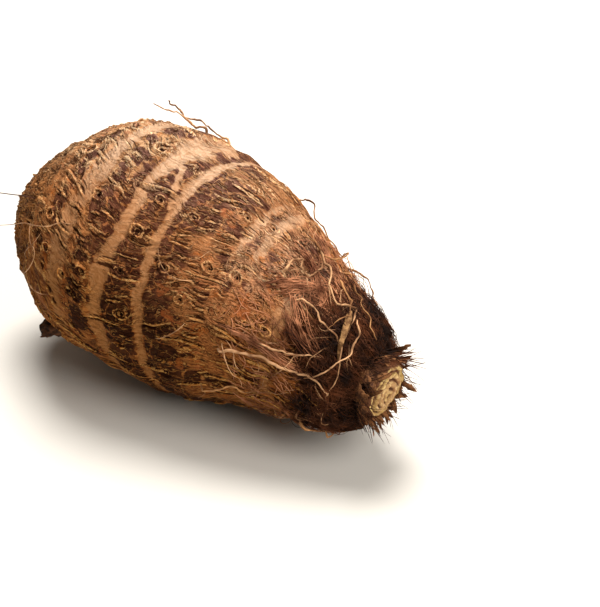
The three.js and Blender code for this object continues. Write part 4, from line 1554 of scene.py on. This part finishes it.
def walked_hairs(draw, count, stations, length, height, heading_spread, turn_spread, crowding):
    """Hairs that set out over the skin and wander, as paths of HAIR_POINTS points."""
    rows = []
    for _ in range(count):
        station = spread(draw(0, 1) ** crowding, stations)
        angle = math.radians(draw(0, 360))
        heading = draw(-heading_spread, heading_spread)
        turn = draw(-turn_spread, turn_spread)
        stride = draw(*length) / (HAIR_POINTS - 1)
        top = draw(*height)
        route = []
        for i in range(HAIR_POINTS):
            rise = math.sin(math.pi * min(1, HAIR_RISE * i / (HAIR_POINTS - 1))) ** HAIR_ARCH
            route.append((station, angle, HAIR_ROOT + top * rise))
            station = min(LAST_HAIR_STATION, station + stride * math.cos(heading) / LENGTH)
            angle += stride * math.sin(heading) / max(HAIR_LEAST_GIRTH, float(girth_radius(station)))
            heading += turn + draw(-turn_spread, turn_spread)
        rows.append(route)
    routes = np.array(rows)
    return over_skin(routes[..., 0], routes[..., 1], routes[..., 2])


def hair_piece(name, paths, radius, material, slot="fibre"):
    taper = 1 - HAIR_TAPER * np.linspace(0, 1, paths.shape[1])
    thickness = spread(np.arange(len(paths)) % HAIR_KINDS / (HAIR_KINDS - 1), HAIR_THICKNESSES)
    radii = radius * thickness[:, None] * taper
    tube_piece(name, clear_of_table(paths, TABLE_CLEARANCE), radii, HAIR_SIDES, material, slot)


def build_hairs(dark_material, red_material, pale_material):
    draw = make_draw(HAIR_SEED)
    materials = (dark_material, dark_material, red_material, pale_material)
    for (name, (*walk, radius)), material in zip(HAIRS.items(), materials):
        slot = "rootlet" if material == pale_material else "fibre"
        hair_piece(name, walked_hairs(draw, *walk), radius, material, slot)


# Single long hairs at the basal end: radius, then station, angle in degrees, height over the skin.
BASAL_HAIRS = (
    (0.32, ((0.153, 144, -0.5), (0.149, 144, 0.8), (0.09, 146, 1.5), (0.045, 149, 3),
            (0.04, 154, 12), (0.04, 158, 19))),
    (0.22, ((0.335, 147, -0.4), (0.3, 149, 0.8), (0.264, 153, 1), (0.2, 157, 1), (0.152, 160, 1.4),
            (0.1, 168, 2.5), (0.061, 180, 8), (0.05, 186, 14))),
    (0.2, ((0.15, 187, -0.4), (0.18, 188, 1.5), (0.228, 176, 1.6), (0.241, 169, 1.4), (0.225, 166, 1.2),
           (0.2, 170, 1.2), (0.169, 178, 0.6), (0.16, 182, -0.4))),
    (0.22, ((0.194, 190, -0.4), (0.22, 188, 1), (0.25, 186, 1.4), (0.278, 184, 0.8), (0.3, 182, -0.4))),
    (0.18, ((0.17, 158, 0.2), (0.19, 161, 1), (0.215, 166, 1.2), (0.235, 160, 0.6), (0.24, 155, -0.3))),
)
BASAL_HAIR_POINTS = 40
BASAL_HAIR_SIDES = 5
BASAL_HAIR_TAPER = 0.5


def build_basal_hairs(dark_material, pale_material):
    for i, (radius, route) in enumerate(BASAL_HAIRS):
        path = curve_through(route_points(route), BASAL_HAIR_POINTS)
        path = clear_of_table(path, TABLE_CLEARANCE)
        radii = radius * (1 - BASAL_HAIR_TAPER * np.linspace(0, 1, BASAL_HAIR_POINTS))
        material = dark_material if i == 0 else pale_material
        tube_piece(f"basal_hair_{i + 1}", path[None], radii[None], BASAL_HAIR_SIDES, material)


# ---- Cut crown and basal stub ----

CROWN_SIDES = 72
# Share of the crown's radius, share of its height, pale-to-brown ring and green tinge, bark.
CROWN_RINGS = (
    (1.02, -0.9, 1, 0, 1), (1.04, -0.3, 1, 0, 1), (1.01, 0.2, 1, 0, 1), (0.99, 0.45, 1, 0, 1),
    (0.95, 0.6, 0.8, 0.4, 0.7), (0.9, 0.63, 0.1, 1, 0), (0.84, 0.6, 0.2, 0.8, 0),
    (0.8, 0.42, 1, 0.2, 0.4), (0.77, 0.4, 1, 0.1, 0.4), (0.74, 0.66, 0.4, 0.8, 0),
    (0.66, 0.78, 0.1, 0.5, 0), (0.6, 0.76, 0.2, 0.2, 0), (0.56, 0.55, 1, 0, 0.3),
    (0.53, 0.56, 1, 0, 0.3), (0.49, 0.84, 0.3, 0.3, 0), (0.4, 0.95, 0.1, 0.3, 0),
    (0.34, 0.92, 0.3, 0.1, 0), (0.3, 0.68, 1, 0, 0.2), (0.27, 0.7, 1, 0, 0.2), (0.23, 0.96, 0.3, 0.4, 0),
    (0.15, 1, 0.1, 0.6, 0), (0.1, 0.8, 0.9, 0.2, 0), (0.06, 0.85, 0.3, 0.5, 0),
)
# The leaf bases sit one inside another off the middle, each a flattened ring.
CROWN_OFFSET = (1.9, -1.2)
CROWN_SQUEEZE = 0.24
CROWN_RIM = ((0.07, 0.5, 91), (0.03, 0.16, 92))
CROWN_SLIP = (0.07, 0.6, 98)
CROWN_SLIP_HEIGHT = 2.5
CROWN_RAGGED = ((0.85, 2.6, 93), (0.425, 0.9, 94))
CROWN_RAGGED_FROM = (0.3, 0.6)
CROWN_SPOT_HEIGHT = 9


def crown_axes():
    """The middle of the crown's foot, its axis and two directions across it."""
    axis = np.array((math.cos(CROWN_TILT), 0, -math.sin(CROWN_TILT)))
    upwards = np.array((math.sin(CROWN_TILT), 0, math.cos(CROWN_TILT)))
    return skin_point(np.array(1.0), np.array(0.0)), axis, np.array((0, -1.0, 0)), upwards


def crown_points(share, rise):
    """Rows of points over the crown, for each row's share of the radius and of the height."""
    turn = turns(CROWN_SIDES)
    inner = 1 - np.clip(share, 0, 1)
    rim = 1 + layered(circle_points(turn), *CROWN_RIM)
    slip = (1 - share) * layered(circle_points(turn, CROWN_SLIP_HEIGHT * share), CROWN_SLIP)
    radius = CROWN_RADIUS * share * (rim + slip)
    across = radius * np.cos(turn) + CROWN_OFFSET[0] * inner
    aside = radius * np.sin(turn) * (1 - CROWN_SQUEEZE * inner) + CROWN_OFFSET[1] * inner
    spots = np.stack(np.broadcast_arrays(across, aside, CROWN_SPOT_HEIGHT * share), -1)
    height = CROWN_PROUD * rise + step(rise, *CROWN_RAGGED_FROM) * layered(spots, *CROWN_RAGGED)
    height = np.minimum(height, CROWN_PROUD)
    foot, *axes = crown_axes()
    return foot + sum(part[..., None] * axis for part, axis in zip((height, across, aside), axes))


def build_crown(material):
    rows = np.array(CROWN_RINGS)
    vertices, faces = cup_mesh(crown_points(rows[:, 0, None], rows[:, 1, None]))
    masks = np.concatenate((rows[:, 2:5], np.ones((len(rows), 1))), -1)
    masks = np.repeat(masks, CROWN_SIDES, 0)
    masks = np.concatenate((masks, masks[-1:]))
    return mesh_piece("crown_cut", vertices, faces, material, {"paint": masks})


TUFT_HAIRS = 280
TUFT_LENGTHS = (5, 13)
TUFT_FLARES = (-0.15, 0.6)
FLAPS = 64
FLAP_POINTS = 11
FLAP_WIDTHS = (0.6, 2.6)
FLAP_LENGTHS = (5, 10.5)
FLAP_FLARES = (-0.12, 0.45)
FLAP_SIDES = 10
FLAP_FLATNESS = 0.09
FLAP_TAPER = 0.75
FLAP_LUMPS = (0.45, 1.5, 105)
FLAP_CLEARANCE = 1
TUFT_RADIUS = 0.19
TUFT_FEET = (1, 1.2)
TUFT_DEPTHS = (1, 6)
TUFT_CURLS = (-1, 2)
TUFT_LEANS = (-0.9, 0.9)


def crown_strands(draw, count, lengths, flares, points):
    """Strands that rise round the crown's foot and flare out, and the direction round it at each."""
    foot, axis, across, upwards = crown_axes()
    share = np.linspace(0, 1, points)[:, None]
    paths, rounds = [], []
    for _ in range(count):
        turn = draw(0, 2 * math.pi)
        out = across * math.cos(turn) + upwards * math.sin(turn)
        around = upwards * math.cos(turn) - across * math.sin(turn)
        length = draw(*lengths)
        start = foot + out * CROWN_RADIUS * draw(*TUFT_FEET) - axis * draw(*TUFT_DEPTHS)
        flare, curl, lean = draw(*flares), draw(*TUFT_CURLS), draw(*TUFT_LEANS)
        path = start + axis * length * share + out * (flare * length * share + curl * share**2)
        paths.append(path + around * lean * length * share**1.5)
        rounds.append(around)
    return np.array(paths), np.array(rounds)


def build_tuft(hair_material, flap_material):
    """Torn leaf sheath round the cut: loose hairs and a few papery flaps."""
    draw = make_draw(TUFT_SEED)
    hairs, _ = crown_strands(draw, TUFT_HAIRS, TUFT_LENGTHS, TUFT_FLARES, HAIR_POINTS)
    hair_piece("crown_tuft", hairs, TUFT_RADIUS, hair_material)
    flaps, rounds = crown_strands(draw, FLAPS, FLAP_LENGTHS, FLAP_FLARES, FLAP_POINTS)
    flaps = clear_of_table(flaps, FLAP_CLEARANCE)
    widths = np.array([draw(*FLAP_WIDTHS) for _ in range(FLAPS)])[:, None]
    widths = widths * (1 - FLAP_TAPER * np.linspace(0, 1, FLAP_POINTS) ** 1.5)
    widths = widths * (1 + layered(flaps, FLAP_LUMPS))
    form = {"wide": rounds, "flatness": FLAP_FLATNESS}
    tube_piece("crown_flaps", flaps, widths, FLAP_SIDES, flap_material, **form)


BASAL_STUB_SIDES = 30
BASAL_STUB_SHORTNESS = 0.8
BASAL_STUB_DRIFT = 2.5
BASAL_STUB_FLATNESS = 0.7
# Share of the stub's radius and of its length.
BASAL_STUB_ROWS = (
    (1.15, -0.6), (1.12, -0.1), (1, 0.15), (0.9, 0.35), (0.8, 0.52), (0.66, 0.68), (0.5, 0.8),
    (0.3, 0.93), (0.12, 1),
)
BASAL_STUB_JAGS = ((0.34, 0.36, 95), (0.2, 0.17, 96))
BASAL_STUB_JAG_HEIGHT = 1.5
BASAL_STUB_TORN = 0.7
BASAL_STUB_CLEARANCE = 0.3


def build_basal_stub(material):
    """A jagged woody flap left where the corm sat on its parent."""
    station, degrees = BASAL_STUB_PLACE
    at, along, _, out = skin_frame(np.array(station), np.array(math.radians(degrees)))
    aim = unit(out + along * BASAL_STUB_LEAN)
    first_side = unit(np.cross(aim, (0, 0, 1)))
    turn = turns(BASAL_STUB_SIDES)
    share, rise = np.array(BASAL_STUB_ROWS).T[..., None]
    jags = layered(circle_points(turn, BASAL_STUB_JAG_HEIGHT * rise), *BASAL_STUB_JAGS)
    radius = BASAL_STUB_RADIUS * share * (1 + jags)
    tip = np.maximum(rise, 0)
    height = BASAL_STUB_PROUD * (BASAL_STUB_SHORTNESS * rise + BASAL_STUB_TORN * tip * jags)
    points = (
        at + aim * height[..., None]
        + along * (BASAL_STUB_DRIFT * tip**2)[..., None]
        + first_side * (radius * np.cos(turn))[..., None]
        + np.cross(aim, first_side) * (BASAL_STUB_FLATNESS * radius * np.sin(turn))[..., None]
    )
    vertices, faces = cup_mesh(clear_of_table(points, BASAL_STUB_CLEARANCE))
    return mesh_piece("basal_stub", vertices, faces, material)


# ---- Stage: floor, light and camera ----

CAMERA_AZIMUTH = math.radians(36.62)
CAMERA_ELEVATION = math.radians(32)
CAMERA_DISTANCE = 0.6125
CAMERA_TARGET = Vector((0.02158, 0.03044, 0.029015))
CAMERA_LENS = 90
CAMERA_SENSOR = 36
FLOOR_SIZE = 12
SKY_STRENGTH = 0.16
# Lamps: name, place, width, power and colour.
LAMPS = (
    ("key", (-0.24, 0.3, 1.15), 0.75, 27.5, (1, 0.98, 0.95)),
    ("fill", (0.85, -0.1, 0.65), 0.7, 11, (1, 0.97, 0.93)),
)


def build_floor():
    paint = Paint("floor", 0.9, 0.1)
    paint.colour(rgb(210, 206, 199))
    bpy.ops.mesh.primitive_plane_add(size=FLOOR_SIZE, location=(0, 0, 0))
    floor = bpy.context.object
    floor.name = "floor"
    floor.data.materials.append(paint.material)


def add_area_light(name, place, size, power, colour):
    lamp = bpy.data.lights.new(name, "AREA")
    lamp.shape = "DISK"
    lamp.size = size
    lamp.energy = power
    lamp.color = colour
    light = bpy.data.objects.new(name, lamp)
    light.location = place
    light.rotation_euler = (-Vector(place)).to_track_quat("-Z", "Y").to_euler()
    bpy.context.scene.collection.objects.link(light)


def build_world(strength):
    world = bpy.data.worlds.new("studio")
    world.use_nodes = True
    background = world.node_tree.nodes["Background"]
    background.inputs["Color"].default_value = rgb(255, 246, 234)
    background.inputs["Strength"].default_value = strength
    bpy.context.scene.world = world


def build_camera():
    back = Vector((
        math.sin(CAMERA_AZIMUTH) * math.cos(CAMERA_ELEVATION),
        -math.cos(CAMERA_AZIMUTH) * math.cos(CAMERA_ELEVATION),
        math.sin(CAMERA_ELEVATION),
    ))
    lens = bpy.data.cameras.new("camera")
    lens.lens = CAMERA_LENS
    lens.sensor_width = CAMERA_SENSOR
    camera = bpy.data.objects.new("camera", lens)
    camera.location = CAMERA_TARGET + back * CAMERA_DISTANCE
    camera.rotation_euler = back.to_track_quat("Z", "Y").to_euler()
    bpy.context.scene.collection.objects.link(camera)
    bpy.context.scene.camera = camera


# ---- The scene ----

skin_look = skin_material()
pale_fibre = fibre_material("pale_fibre", rgb(104, 68, 42), rgb(206, 158, 114))
# Dark brown hairs, darkened further as painted shade round the crown.
dark_fibre = fibre_material("dark_fibre", rgb(28, 13, 6), rgb(90, 48, 24))
brown_fibre = fibre_material("brown_fibre", rgb(104, 66, 38), rgb(182, 132, 84))
red_fibre = fibre_material("red_fibre", rgb(92, 50, 30), rgb(190, 128, 90))
wood = fibre_material("stub_wood", rgb(34, 19, 12), rgb(96, 60, 36), FINE_DRIFT)

build_skin(skin_look)
build_eyes(skin_look)
build_rootlets("front_rootlets", KNOWN_ROOTLETS, KNOWN_THINNESS, pale_fibre)
build_rootlets("upper_rootlets", UPPER_ROOTLETS, KNOWN_THINNESS, pale_fibre)
build_rootlets("far_rootlets", drawn_rootlets(), DRAWN_THINNESS, brown_fibre)
build_strap(fibre_material("strap_skin", rgb(88, 58, 32), rgb(162, 122, 78), FINEST_DRIFT))
build_sheath(dark_fibre)
build_marked_bundles(red_fibre)
build_hairs(dark_fibre, red_fibre, pale_fibre)
build_basal_hairs(dark_fibre, pale_fibre)
build_crown(crown_material())
build_tuft(dark_fibre, fibre_material("papery_flap", rgb(56, 31, 18), rgb(138, 92, 56), FINE_DRIFT))
build_basal_stub(wood)

build_floor()
for lamp_row in LAMPS:
    add_area_light(*lamp_row)
build_world(SKY_STRENGTH)
build_camera()
bpy.context.scene.view_settings.view_transform = "Standard"
